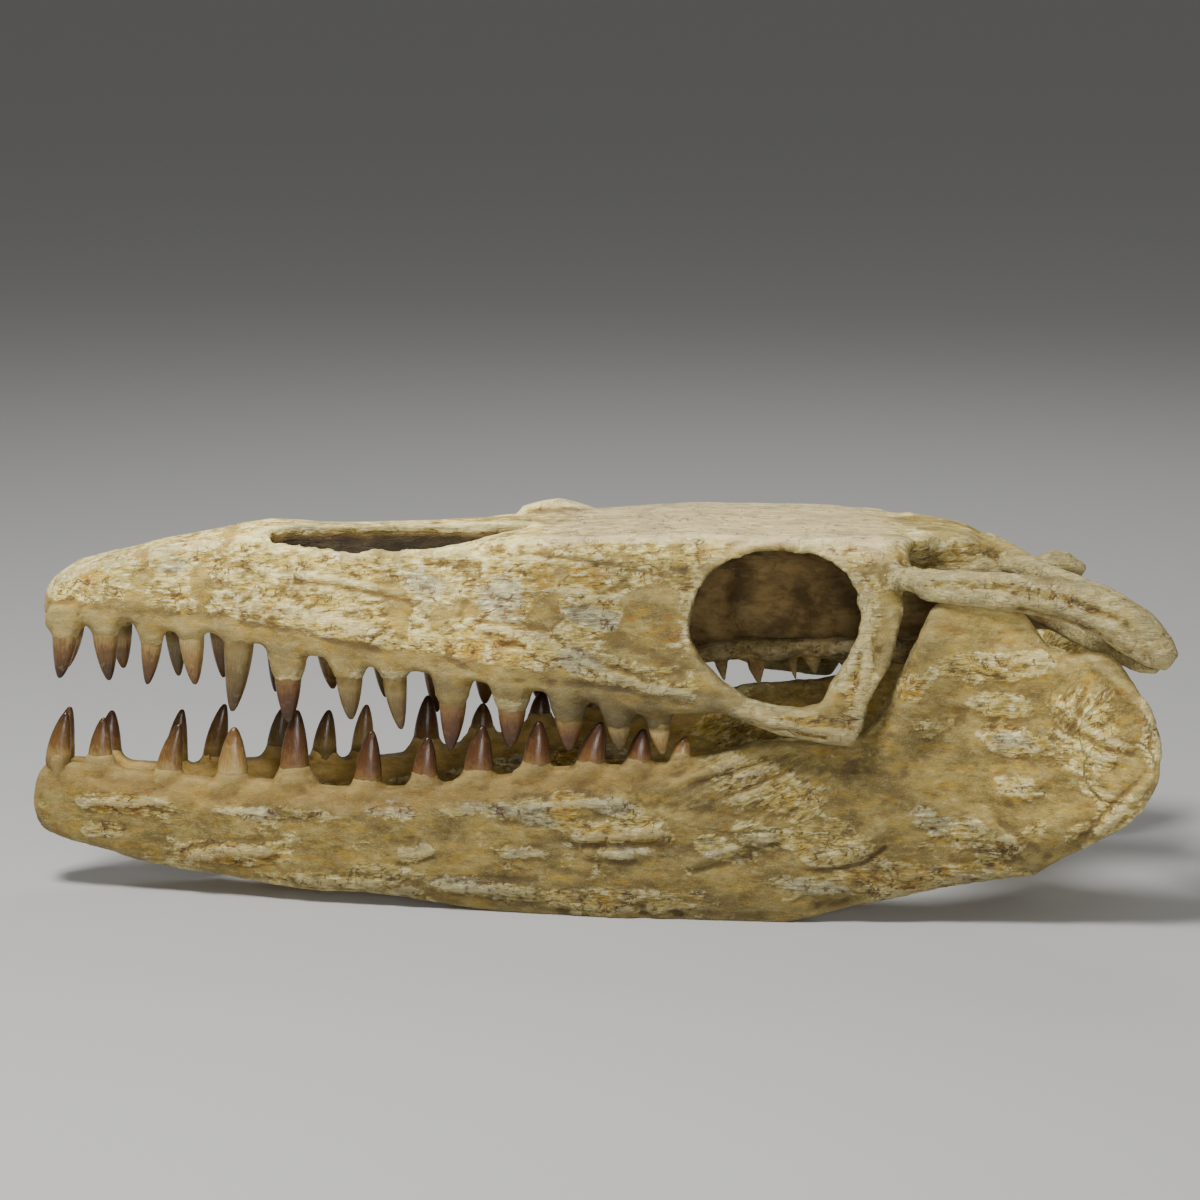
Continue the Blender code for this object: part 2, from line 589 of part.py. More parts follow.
def set_teeth(table, name, upper, side, holder):
    """Cut the sockets of one row of teeth and set its teeth in them."""
    made, cutters = [], []
    for number, (station, height, half, tip_station, tip_height) in enumerate(table, 1):
        row = row_place(station, upper)
        size = (station, row, height, half, tip_station, tip_height, side)
        cutters.append(tooth("socket", *size, grow=SOCKET_GAP))
        made.append(tooth(f"{name}_{number:02d}", *size))
    sockets = merge("sockets", cutters)
    subtract(holder, sockets)
    discard(sockets)
    return made


def paint(made, name, colour, roughness):
    """Give an object its own plain material and smooth shading."""
    material = bpy.data.materials.new(name)
    material.use_nodes = True
    shader = material.node_tree.nodes["Principled BSDF"]
    shader.inputs["Base Color"].default_value = (*colour, 1)
    shader.inputs["Roughness"].default_value = roughness
    shader.inputs["Metallic"].default_value = 0.0
    made.data.materials.clear()
    made.data.materials.append(material)
    made.data.shade_smooth()
    made.data.set_sharp_from_angle(angle=math.radians(50))


def settle(made):
    """Move all pieces together so that the skull stands centred over the origin."""
    corners = [made_vert.co for each in made for made_vert in each.data.vertices]
    lowest = Vector(min(corner[axis] for corner in corners) for axis in range(3))
    highest = Vector(max(corner[axis] for corner in corners) for axis in range(3))
    middle = (lowest + highest) / 2
    for each in made:
        each.data.transform(Matrix.Translation((-middle.x, -middle.y, -lowest.z)))


def main():
    """Model every piece of the skull."""
    clear_scene()
    cranium = make_cranium()
    jaw_left = make_jaw("lower_jaw_left", LEFT)
    jaw_right = make_jaw("lower_jaw_right", RIGHT)
    pterygoid_left = make_pterygoid("pterygoid_left", LEFT)
    pterygoid_right = make_pterygoid("pterygoid_right", RIGHT)
    for jaw, pterygoid in ((jaw_left, pterygoid_left), (jaw_right, pterygoid_right)):
        carve(jaw, cranium, BONE_GAP)
        carve(pterygoid, cranium, BONE_GAP)
        carve(pterygoid, jaw, BONE_GAP)
    upper = set_teeth(UPPER_TEETH, "upper_tooth_left", True, LEFT, cranium)
    upper += set_teeth(UPPER_TEETH_RIGHT, "upper_tooth_right", True, RIGHT, cranium)
    lower = set_teeth(LOWER_TEETH, "lower_tooth_left", False, LEFT, jaw_left)
    lower += set_teeth(LOWER_TEETH_RIGHT, "lower_tooth_right", False, RIGHT, jaw_right)
    for bone in (cranium, jaw_left, jaw_right, pterygoid_left, pterygoid_right):
        keep_largest(bone)
    settle([cranium, jaw_left, jaw_right, pterygoid_left, pterygoid_right, *upper, *lower])
    paint(cranium, "cranium_bone", BONE_COLOUR, BONE_ROUGHNESS)
    for jaw in (jaw_left, jaw_right):
        paint(jaw, f"{jaw.name}_bone", JAW_COLOUR, BONE_ROUGHNESS)
    for pterygoid in (pterygoid_left, pterygoid_right):
        paint(pterygoid, f"{pterygoid.name}_bone", PALATE_COLOUR, BONE_ROUGHNESS)
    for each in upper + lower:
        paint(each, f"{each.name}_enamel", TOOTH_COLOUR, TOOTH_ROUGHNESS)


main()
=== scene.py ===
# %% [markdown]
# # A fossil mosasaur skull
# A mosasaur was a sea lizard. This skull lies with its jaws open, its broken bones cemented
# together with a sandy filler. Every size is a real one: stations are millimetres measured
# backwards from the tip of the chin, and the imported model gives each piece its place.

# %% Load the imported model
import math
import random

import bmesh
import bpy
import numpy as np
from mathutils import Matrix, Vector
from mathutils.bvhtree import BVHTree


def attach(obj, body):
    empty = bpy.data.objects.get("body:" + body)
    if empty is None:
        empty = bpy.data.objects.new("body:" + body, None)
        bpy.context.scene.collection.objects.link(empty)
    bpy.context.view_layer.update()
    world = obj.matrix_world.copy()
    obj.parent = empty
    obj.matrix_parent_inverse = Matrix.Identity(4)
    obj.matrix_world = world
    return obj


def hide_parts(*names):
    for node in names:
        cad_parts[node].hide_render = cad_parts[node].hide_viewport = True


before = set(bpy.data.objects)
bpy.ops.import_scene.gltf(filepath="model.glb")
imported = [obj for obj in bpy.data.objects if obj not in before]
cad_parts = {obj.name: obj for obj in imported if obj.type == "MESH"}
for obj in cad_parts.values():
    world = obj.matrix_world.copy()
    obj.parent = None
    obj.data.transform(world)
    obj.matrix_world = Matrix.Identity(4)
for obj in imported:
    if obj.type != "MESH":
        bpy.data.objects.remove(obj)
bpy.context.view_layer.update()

# %% [markdown]
# ## The camera and the light
# The photograph looks at the animal's left side from a little above, through a long lens, so
# the far teeth show just above the near ones. The camera stands at the same angle. Three broad
# area lights over a pale floor give a soft studio light: one above, one in front, one behind.

# %% Stand the camera where the photograph was taken
PITCH = math.radians(11)
CAMERA_DISTANCE = 2.6
LOOK_AT = Vector((0.0085, 0.0, 0.2135))
PHOTO_WIDTH = 1200
FOCAL_PIXELS = 3611
SENSOR = 36.0

lens = bpy.data.cameras.new("camera")
lens.sensor_width = SENSOR
lens.lens = SENSOR * FOCAL_PIXELS / PHOTO_WIDTH
camera = bpy.data.objects.new("camera", lens)
FORWARD = Vector((0, math.cos(PITCH), -math.sin(PITCH)))
UPWARD = Vector((0, math.sin(PITCH), math.cos(PITCH)))
camera.location = LOOK_AT - FORWARD * CAMERA_DISTANCE
camera.rotation_euler = (math.pi / 2 - PITCH, 0, 0)
bpy.context.scene.collection.objects.link(camera)
bpy.context.scene.camera = camera
print("lens", round(lens.lens, 1), "mm")


def sight_line(right, down):
    """The direction from the camera through a pixel of the photograph."""
    across = (right - PHOTO_WIDTH / 2) / FOCAL_PIXELS
    up = (PHOTO_WIDTH / 2 - down) / FOCAL_PIXELS
    return (FORWARD + Vector((across, 0, 0)) + UPWARD * up).normalized()


# %% Light the skull and lay the floor
LIGHTS = (("key", (-0.8, -0.9, 2.2), 0.6, 74), ("front", (0.4, -2.8, 0.75), 0.9, 25),
          ("back", (0.5, 1.8, 2.0), 1.4, 12))


def area_light(name, place_at, size, power):
    """A square soft light that faces the skull."""
    data = bpy.data.lights.new(name, "AREA")
    data.size, data.energy = size, power
    light = bpy.data.objects.new(name, data)
    light.location = place_at
    light.rotation_euler = (LOOK_AT - Vector(place_at)).to_track_quat("-Z", "Y").to_euler()
    bpy.context.scene.collection.objects.link(light)


for spec in LIGHTS:
    area_light(*spec)
world = bpy.data.worlds.new("studio")
world.use_nodes = True
world.node_tree.nodes["Background"].inputs["Color"].default_value = (0.88, 0.88, 0.86, 1)
world.node_tree.nodes["Background"].inputs["Strength"].default_value = 0.19
bpy.context.scene.world = world

floor_mesh = bmesh.new()
bmesh.ops.create_grid(floor_mesh, x_segments=1, y_segments=1, size=60.0)
floor_data = bpy.data.meshes.new("floor")
floor_mesh.to_mesh(floor_data)
floor_mesh.free()
floor = bpy.data.objects.new("floor", floor_data)
bpy.context.scene.collection.objects.link(floor)
floor_finish = bpy.data.materials.new("pale_floor")
floor_finish.use_nodes = True
floor_shader = floor_finish.node_tree.nodes["Principled BSDF"]
floor_shader.inputs["Base Color"].default_value = (0.50, 0.495, 0.48, 1)
floor_shader.inputs["Roughness"].default_value = 0.7
floor_data.materials.append(floor_finish)
print("lights", len(LIGHTS), "and one floor")

# %% [markdown]
# ## Measurements of the skull
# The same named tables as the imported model's drive the fine surface, so both agree. A profile
# gives a height or a half-width at each station. A bar of bone is a list of points, each with a
# station, a distance from the midline, a height and two half-sizes.

# %% Units and the midline
MM = 0.001
LENGTH = 807.0
MIDDLE_SHIFT = (-0.93, 5.598)
LEFT, RIGHT = -1, 1


def place(station, y, z):
    """A point of the skull in metres, from its station, side distance and height."""
    return Vector(((station - LENGTH / 2 + MIDDLE_SHIFT[0]) * MM,
                   (y + MIDDLE_SHIFT[1]) * MM, z * MM))


def at(table, station, column=1):
    """Read one column of a table of stations, in straight steps between its rows."""
    return float(np.interp(station, [row[0] for row in table], [row[column] for row in table]))


def spaced(start, end, step):
    """Stations from start to end, about one step apart."""
    return np.linspace(start, end, max(2, round((end - start) / step) + 1))


print("chin at", place(0, 0, 0))

# %% Profiles of the cranium and the lower jaws
# Profiles of the cranium: station against height or half-width.
DORSAL_LINE = ((12, 219), (18, 228), (27, 236), (38, 242), (67, 250), (96, 257), (125, 262.5),
               (154, 268), (179, 271), (233, 270), (326, 272), (412, 275), (485, 276),
               (574, 274), (600, 272.5), (618, 271), (632, 269.5))
GUM_LINE = ((13, 202), (24, 196), (44, 196), (78, 202), (106, 194), (138, 195), (173, 187),
            (207, 182), (252, 175), (282, 173), (332, 167), (375, 162), (410, 155),
            (441, 149), (474, 151), (495, 154), (509, 149), (536, 139), (571, 133),
            (594, 131), (660, 133))
CHEEK_WIDTH = ((13, 10), (22, 17), (40, 23), (60, 28), (107, 35), (150, 45), (197, 55),
               (247, 64), (297, 73), (347, 83), (392, 91), (432, 99), (467, 108),
               (512, 117), (562, 122), (594, 125), (660, 127))
SHOULDER_WIDTH = ((8, 5), (20, 9), (60, 15), (107, 20), (150, 25), (191, 31), (220, 38),
                  (256, 45), (285, 50), (313, 53), (355, 57), (400, 62), (440, 67),
                  (480, 72), (600, 73), (616, 72), (632, 62))
SHOULDER_DROP = ((8, 6), (60, 6), (150, 5), (191, 5), (220, 8), (256, 11), (285, 13),
                 (313, 11), (355, 6), (400, 6), (480, 4), (660, 4))
CHEEK_FULLNESS = ((8, 1.0), (300, 1.0), (460, 0.6), (660, 0.5))
VAULT = 14.0
HEAD_SIDES = 18
SNUB_NOSE = (13, 0, 211)

# Profiles of one half of the lower jaw.
JAW_TOP = ((1, 67), (3, 80), (10, 93), (35, 95), (75, 91), (123, 87), (171, 89), (221, 85),
           (268, 88), (306, 93), (348, 101), (387, 109), (425, 111), (455, 113), (483, 119),
           (503, 124), (523, 131), (534, 131), (580, 133), (597, 138), (611, 158),
           (622, 182), (630, 196), (637, 212), (643, 228), (652, 236), (680, 234),
           (706, 226), (713, 216), (723, 204), (739, 198), (751, 201), (761, 199),
           (771, 192), (782, 178), (789, 167), (795, 155), (799, 142))
JAW_BOTTOM = ((1, 59), (3, 50), (10, 43), (34, 33.5), (49, 31), (78, 23), (108, 18.5),
              (152, 15), (181, 11), (211, 8), (269, 6), (298, 2), (326, -1), (355, -3),
              (540, -3), (567, 3), (595, 12), (622, 19), (650, 26), (677, 32), (715, 36),
              (731, 45), (748, 57), (764, 67), (784, 82), (793, 97), (800, 116))
JAW_MIDDLE = ((1, 6), (12, 8), (52, 12), (107, 19), (150, 30), (197, 40), (247, 49),
              (297, 58), (347, 68), (392, 76), (432, 82), (472, 86), (512, 90), (592, 98),
              (652, 104), (712, 112), (772, 123), (807, 128))
JAW_HALF_THICKNESS = ((1, 5), (12, 8), (52, 10.5), (107, 11), (297, 12), (472, 12),
                      (600, 11), (700, 10), (760, 12), (790, 11), (800, 8))
JAW_SIDES = 16
JAW_SQUARENESS = 0.62

# Openings of the skull's sides, as outlines of station and height.
ORBIT = ((475, 205), (476, 219), (481, 236), (491, 249), (505, 257), (520, 262), (540, 264),
         (558, 262), (574, 256), (586, 246), (594, 234), (596, 221), (593, 206), (585, 190),
         (574, 174), (567, 161), (552, 157), (535, 158), (515, 163), (497, 175), (483, 189))
BEHIND_ORBIT = ((574, 118), (587, 132), (594, 143), (598, 160), (605, 175), (614, 188), (619, 204),
                (624, 224), (624, 240), (640, 249), (700, 252), (700, 118))
NARIS_HALF_WIDTH = 14
NARIS = ((178, 24, 5), (200, 23, 11), (235, 26, 16), (270, 28, 17), (300, 29, 16),
         (330, 26, 11), (360, 22, 5))
NARIS_FLOOR, NARIS_BRIM, NARIS_TOP = 232.0, 262.0, 290.0
OUTSIDE = 150
ORBIT_INSIDE = 34
TEMPLE_INSIDE = 60

# The space under the roof between the cheeks: it starts with a slope at its front end.
HOLLOW_STATIONS = (452, 462, 480, 510, 540, 570, 600, 640, 700)
HOLLOW_START = 470
HOLLOW_WAIST, HOLLOW_FLARE, HOLLOW_MOUTH = 205, 150, 90
ROOF_THICKNESS = 13
SHOULDER_THICKNESS = 9
CHEEK_THICKNESS = 13
HOLLOW_CEILING = 262

# Bars of bone as points of station, distance from the midline, height and two half-sizes,
# first sideways and then up.
TEMPORAL_BAR = ((610, 78, 250, 8, 8), (632, 96, 244, 9, 8.5), (655, 104, 243, 10, 10.5),
                (685, 110, 241, 10, 12.5), (712, 118, 238.5, 11, 14), (740, 125, 235, 12, 15.5),
                (762, 131, 227, 13, 17), (781, 137, 215.5, 13, 17), (795, 142, 204, 10, 13),
                (804, 145, 197, 6, 7))
TEMPORAL_BAR_RIGHT = ((610, 78, 250, 8, 8), (632, 96, 243, 9, 8.5), (655, 103, 240, 10, 10),
                      (685, 108, 233, 10, 12), (712, 113, 222, 11, 13),
                      (735, 117, 210, 12, 14), (752, 120, 199, 12, 13), (762, 122, 190, 8, 8))
PARIETAL_WING = ((686, 8, 256, 9, 9), (706, 24, 248, 9, 9), (724, 44, 240, 8, 9),
                 (746, 78, 236, 8, 9), (762, 112, 233, 8, 10), (768, 128, 228, 8, 10))
PARIETAL_WING_RIGHT = ((686, 8, 254, 9, 9), (704, 24, 240, 9, 9), (722, 46, 226, 8, 9),
                       (736, 78, 212, 8, 9), (746, 108, 204, 8, 9), (750, 118, 201, 8, 9))
PAROCCIPITAL_BAR = ((722, 12, 214, 12, 13), (736, 40, 208, 9, 10), (752, 74, 203, 7, 9),
                    (772, 104, 197, 7, 9), (788, 126, 193, 7, 8), (796, 134, 192, 5, 6))
PAROCCIPITAL_BAR_RIGHT = ((722, 12, 212, 12, 13), (732, 40, 200, 9, 10), (744, 74, 190, 7, 9),
                          (756, 100, 184, 7, 8), (764, 114, 183, 6, 7))
NARIS_HUMP_RIGHT = ((356, 40, 270, 6, 4), (370, 40, 272.5, 8, 5), (383, 40, 274, 9, 6),
                    (395, 40, 272.5, 8, 5), (408, 40, 270, 6, 3))
OCCIPITAL_KNOB = ((718, 0, 230, 9, 9), (730, 0, 236, 9, 9), (741, 0, 240.5, 9, 9),
                  (748, 0, 240.5, 9, 8), (755, 0, 237, 8, 5.5), (762, 0, 234, 6, 5))
OCCIPITAL_CONDYLE = ((700, 0, 208, 20, 18), (730, 0, 206, 18, 15), (748, 0, 203, 15, 13),
                     (757, 0, 201, 9, 8))
PTERYGOID_BAR = ((440, 34, 170, 5, 5), (460, 33, 176, 7, 7), (500, 31, 182, 7.5, 7),
                 (540, 31, 184, 7.5, 7), (575, 33, 184, 7.5, 7), (615, 44, 184, 7, 8),
                 (655, 66, 186, 6, 9), (690, 86, 190, 5, 9), (712, 102, 193, 4, 8))
PTERYGOID_TEETH = ((478, 32, 5, 18), (499, 31, 6, 25), (524, 31, 8, 28), (550, 32, 4.5, 24),
                   (564, 32, 7, 20), (586, 35, 5, 17))
PTERYGOID_TOOTH_FOOT = 184.0

# The braincase: station, roof height, floor height, half-width at the roof and below it.
BRAINCASE = ((452, 262, 190, 9, 7), (480, 264, 182, 14, 8), (520, 264, 178, 22, 13),
             (560, 264, 176, 28, 15), (600, 266, 176, 70, 18), (618, 268, 178, 64, 22),
             (636, 269, 180, 48, 24), (655, 269, 184, 36, 25), (676, 266, 188, 29, 27),
             (692, 258, 190, 25, 28), (708, 247, 192, 23, 29), (724, 239, 195, 20, 27),
             (738, 234, 198, 15, 20))

# Teeth from front to back: station and height of the crown's base, its half-width, and
# station and height of the tip.
UPPER_TEETH = ((29, 194, 9.5, 24, 158), (58, 196, 9.5, 60, 157), (92, 191, 8, 88, 155),
               (121, 196, 9.5, 123, 156), (156, 194, 11, 150, 138), (191, 170, 10, 191, 132),
               (235, 173, 10, 236, 136), (267.5, 173, 9, 272, 130), (309, 156, 10, 307, 117),
               (351, 154, 10.5, 349.5, 121), (391, 148, 10, 391.5, 120),
               (426, 146, 9, 427, 122), (454, 145, 8, 457, 120))
LOWER_TEETH = ((20, 95, 9.5, 27, 132.5), (51, 94.5, 9.5, 54.5, 129), (101, 86.5, 10, 110, 126),
               (148.5, 87, 11.5, 150.5, 126), (194, 93, 11, 196.5, 141),
               (247, 87, 10.5, 250.5, 128), (288, 93, 9.5, 291, 125),
               (326.5, 98, 11, 330, 135), (368, 106, 10.5, 370, 140),
               (406, 108, 11, 414, 141), (440, 111, 9.5, 443.5, 137),
               (469, 115, 8, 473.5, 132.5))
UPPER_TEETH_RIGHT = ((29, 194, 9.5, 24, 158), (63, 196, 9.5, 65, 157),
                     (103, 192, 8.5, 104.5, 150), (135, 195, 9, 136.5, 147),
                     (177, 186, 10, 174, 134), (213, 172, 10, 215.5, 135),
                     (252, 173, 9.5, 254, 127), (290, 163, 9.5, 291.5, 114),
                     (328, 156, 10, 327, 119), (368, 152, 10, 367, 121),
                     (406, 148, 10, 405, 121), (436, 146, 8.5, 437, 123),
                     (461, 146, 8, 463, 122))
LOWER_TEETH_RIGHT = ((20, 95, 9.5, 27, 132), (54, 94, 9.5, 57, 128.5), (102, 87, 9, 107.5, 128),
                     (130, 88, 9.5, 138, 130.5), (176, 91, 9.5, 179.5, 125),
                     (209, 87, 9.5, 213, 122), (237, 87, 9, 240.5, 125),
                     (284, 93, 10, 285.5, 130), (325, 98, 9.5, 326, 122),
                     (368, 106, 9, 370, 130), (408, 109, 9, 412, 132), (440, 112, 8.5, 443, 132),
                     (470, 116, 7.5, 473, 131))
LOWER_ROW = ((12, 9), (52, 13), (107, 20), (150, 31), (197, 41), (247, 50), (297, 59),
             (347, 69), (392, 77), (432, 84), (472, 89))
UPPER_ROW_OUTSIDE_LOWER = 7.0
TOOTH_FLATNESS = 0.82

print("cranium profile points:", len(DORSAL_LINE), "jaw profile points:", len(JAW_TOP))

# %% [markdown]
# ## Shaping tools
# A grid that is wrapped round rings of points makes a closed skin, which suits bone: a few
# rings give the whole form. Openings are cut with exact Booleans. Then a voxel remesh melts the
# overlapping shells into one skin with rounded joins, as the cement has done on the fossil.

# %% Skins, bars and plates
def skin(rings, sides):
    """A closed skin through rings of points, all of them with the same number of sides."""
    bm = bmesh.new()
    grid = bmesh.ops.create_grid(bm, x_segments=sides, y_segments=len(rings) - 1, size=1.0)
    for vert in grid["verts"]:
        row = round((vert.co.y + 1) / 2 * (len(rings) - 1))
        column = round((vert.co.x + 1) / 2 * sides) % sides
        vert.co = rings[row][column]
    bmesh.ops.remove_doubles(bm, verts=bm.verts, dist=0.01 * MM)
    bmesh.ops.holes_fill(bm, edges=bm.edges, sides=0)
    bmesh.ops.recalc_face_normals(bm, faces=bm.faces)
    return bm


def add_object(name, bm):
    """Put a bmesh into the scene under a name."""
    mesh = bpy.data.meshes.new(name)
    bm.to_mesh(mesh)
    bm.free()
    made = bpy.data.objects.new(name, mesh)
    bpy.context.scene.collection.objects.link(made)
    return made


def superellipse(angle, power):
    """A point on a unit outline between a circle (power 1) and a square (power 0)."""
    c, s = math.cos(angle), math.sin(angle)
    return (math.copysign(abs(c) ** power, c), math.copysign(abs(s) ** power, s))


def bar(name, points, side, sides=12):
    """A rod of bone with an oval section, through points of a table of bars."""
    path = [place(s, side * y, z) for s, y, z, _, _ in points]
    rings = []
    for index, (_, _, _, sideways, upwards) in enumerate(points):
        forward = path[min(index + 1, len(path) - 1)] - path[max(index - 1, 0)]
        across = forward.cross(Vector((0, 0, 1))).normalized()
        up = across.cross(forward).normalized()
        ring = []
        for step in range(sides):
            c, s = superellipse(2 * math.pi * step / sides, 0.8)
            ring.append(path[index] + (across * c * sideways + up * s * upwards) * MM)
        rings.append(ring)
    return add_object(name, skin(rings, sides))


def plate(name, outline, near, far):
    """A flat plate with an outline of station and height, between two side distances."""
    bm = bmesh.new()
    face = bm.faces.new([bm.verts.new(place(s, near, z)) for s, z in outline])
    grown = bmesh.ops.extrude_face_region(bm, geom=[face])
    moved = [part for part in grown["geom"] if isinstance(part, bmesh.types.BMVert)]
    bmesh.ops.translate(bm, verts=moved, vec=(0, (far - near) * MM, 0))
    bmesh.ops.recalc_face_normals(bm, faces=bm.faces)
    return add_object(name, bm)


print("shaping tools ready")

# %% Cutting, merging and melting together
def finish_modifiers(made):
    """Turn an object's modifiers into its mesh."""
    graph = bpy.context.evaluated_depsgraph_get()
    mesh = bpy.data.meshes.new_from_object(made.evaluated_get(graph), depsgraph=graph)
    made.modifiers.clear()
    made.data = mesh
    mesh.name = made.name


def discard(*spent):
    """Remove construction objects that have done their work."""
    for each in spent:
        bpy.data.objects.remove(each, do_unlink=True)


def merge(name, pieces):
    """Join construction objects into one object, still as overlapping shells."""
    bm = bmesh.new()
    for piece in pieces:
        bm.from_mesh(piece.data)
    discard(*pieces)
    return add_object(name, bm)


def subtract(target, cutter):
    """Cut one object out of another."""
    cut = target.modifiers.new("cut", "BOOLEAN")
    cut.operation = "DIFFERENCE"
    cut.solver = "EXACT"
    cut.object = cutter
    finish_modifiers(target)


def fuse_bone(made, voxel, smoothing):
    """Melt overlapping shells into one skin and round their joins, as bone and cement are."""
    remesh = made.modifiers.new("fuse", "REMESH")
    remesh.mode = "VOXEL"
    remesh.voxel_size = voxel * MM
    smooth = made.modifiers.new("round", "SMOOTH")
    smooth.factor = 0.5
    smooth.iterations = smoothing
    finish_modifiers(made)


print("joining tools ready")

# %% [markdown]
# ## The bones as plain forms
# The cranium is a wedge with a vaulted underside. The hollow behind the cheeks, the nostril
# pits and the orbits are cut out of it, and the braincase, arches and tooth collars are added.

# %% The wedge of the snout and cheeks, and its hollows
def head_ring(station):
    """One ring of the head's outside: roof, shoulders, cheeks and a vaulted underside."""
    top = at(DORSAL_LINE, station)
    gum = at(GUM_LINE, station)
    cheek = at(CHEEK_WIDTH, station)
    shoulder = min(at(SHOULDER_WIDTH, station), cheek * 0.9)
    drop = at(SHOULDER_DROP, station)
    full = at(CHEEK_FULLNESS, station)
    height = top - drop - gum
    spread = cheek - shoulder
    vault = min(VAULT, cheek * 0.35)
    half = [(0.0, top), (shoulder * 0.5, top - drop * 0.3), (shoulder, top - drop),
            (shoulder + spread * (0.33 + 0.27 * full), gum + height * 0.67),
            (shoulder + spread * (0.67 + 0.25 * full), gum + height * 0.33),
            (cheek, gum + 5), (cheek - 4, gum), (cheek * 0.62, gum + vault * 0.35),
            (cheek * 0.3, gum + vault * 0.8), (0.0, gum + vault)]
    points = half + [(-y, z) for y, z in half[-2:0:-1]]
    return [place(station, y, z) for y, z in points]


def head_block():
    """The solid wedge of snout and cheeks, back to behind the orbits."""
    stations = [12, 14, 18, 26, *spaced(36, 632, 12)]
    rings = [head_ring(station) for station in stations]
    snub = place(*SNUB_NOSE)
    rings[0] = [snub + (point - snub) * 0.8 for point in rings[0]]
    return add_object("head", skin(rings, HEAD_SIDES))


def cheek_hollow():
    """The space under the roof between the cheeks, open below and behind."""
    rings = []
    for station in HOLLOW_STATIONS:
        ahead = max(0, HOLLOW_START - station)
        roof = min(at(DORSAL_LINE, station) - ROOF_THICKNESS, HOLLOW_CEILING) - ahead * 1.5
        wide_top = at(SHOULDER_WIDTH, station) - SHOULDER_THICKNESS
        wide_low = at(CHEEK_WIDTH, station) - CHEEK_THICKNESS - ahead * 0.6
        half = [(0, roof), (wide_top, roof - 2), ((wide_top + wide_low) / 2, HOLLOW_WAIST),
                (wide_low, HOLLOW_FLARE), (wide_low + 1, HOLLOW_MOUTH), (0, HOLLOW_MOUTH)]
        points = half + [(-y, z) for y, z in half[-2:0:-1]]
        rings.append([place(station, y, z) for y, z in points])
    return add_object("hollow", skin(rings, len(rings[0])))


def naris_pit(side):
    """One long nostril pit beside the bar between the nostrils."""
    rings = []
    for station, middle, half in NARIS:
        ring = []
        for step in range(12):
            c, s = superellipse(2 * math.pi * step / 12, 0.8)
            depth = NARIS_TOP if s > 0 else NARIS_FLOOR + (NARIS_HALF_WIDTH - half) * 1.6
            height = NARIS_BRIM + (depth - NARIS_BRIM) * abs(s)
            ring.append(place(station, side * (middle + c * half), height))
        rings.append(ring)
    return add_object("naris", skin(rings, 12))


def braincase():
    """The bone between the orbits and around the brain, under the parietal table."""
    rings = []
    for station, roof, floor, wide, narrow in BRAINCASE:
        half = [(0, roof), (wide, roof - 1), (wide, roof - 9), (narrow, roof - 20),
                (narrow, floor + 12), (narrow * 0.7, floor + 2), (0, floor)]
        points = half + [(-y, z) for y, z in half[-2:0:-1]]
        rings.append([place(station, y, z) for y, z in points])
    return add_object("braincase", skin(rings, len(rings[0])))


print("head rings have", HEAD_SIDES, "sides")

# %% The swelling of bone round each tooth's root
def row_place(station, upper):
    """Distance of a tooth from the midline."""
    return at(LOWER_ROW, station) + (UPPER_ROW_OUTSIDE_LOWER if upper else 0)


# Each ring: does it follow the bone's edge, how far it rises, and its two half-sizes as shares.
COLLAR_RINGS = ((0, -7, 0.80, 0.94), (0, -3, 0.88, 1.1), (0, 0, 0.90, 1.24), (1, 1, 0.88, 1.6),
                (1, 7, 0.80, 1.9), (1, 16, 0.6, 1.2))
COLLAR_FRONT = 14


def collar(name, station, row, height, half, side, up):
    """The swelling of bone around a tooth's root."""
    edge = at(GUM_LINE if up > 0 else JAW_TOP, station)
    lift = max(1.0, (edge - height) * up)
    rings = []
    for above_edge, rise, thick, wide in COLLAR_RINGS:
        rise += lift * above_edge
        wide = min(wide, (station - COLLAR_FRONT) / half)
        ring = []
        for step in range(12):
            angle = math.pi * step / 6
            ring.append(place(station + half * wide * math.cos(angle),
                              side * (row + half * thick * math.sin(angle)), height + up * rise))
        rings.append(ring)
    return add_object(name, skin(rings, 12))


print("teeth:", [len(row) for row in (UPPER_TEETH, UPPER_TEETH_RIGHT, LOWER_TEETH, LOWER_TEETH_RIGHT)])

# %% Put the cranium together
CRANIUM_VOXEL, JAW_VOXEL, PTERYGOID_VOXEL = 2.4, 1.65, 1.2


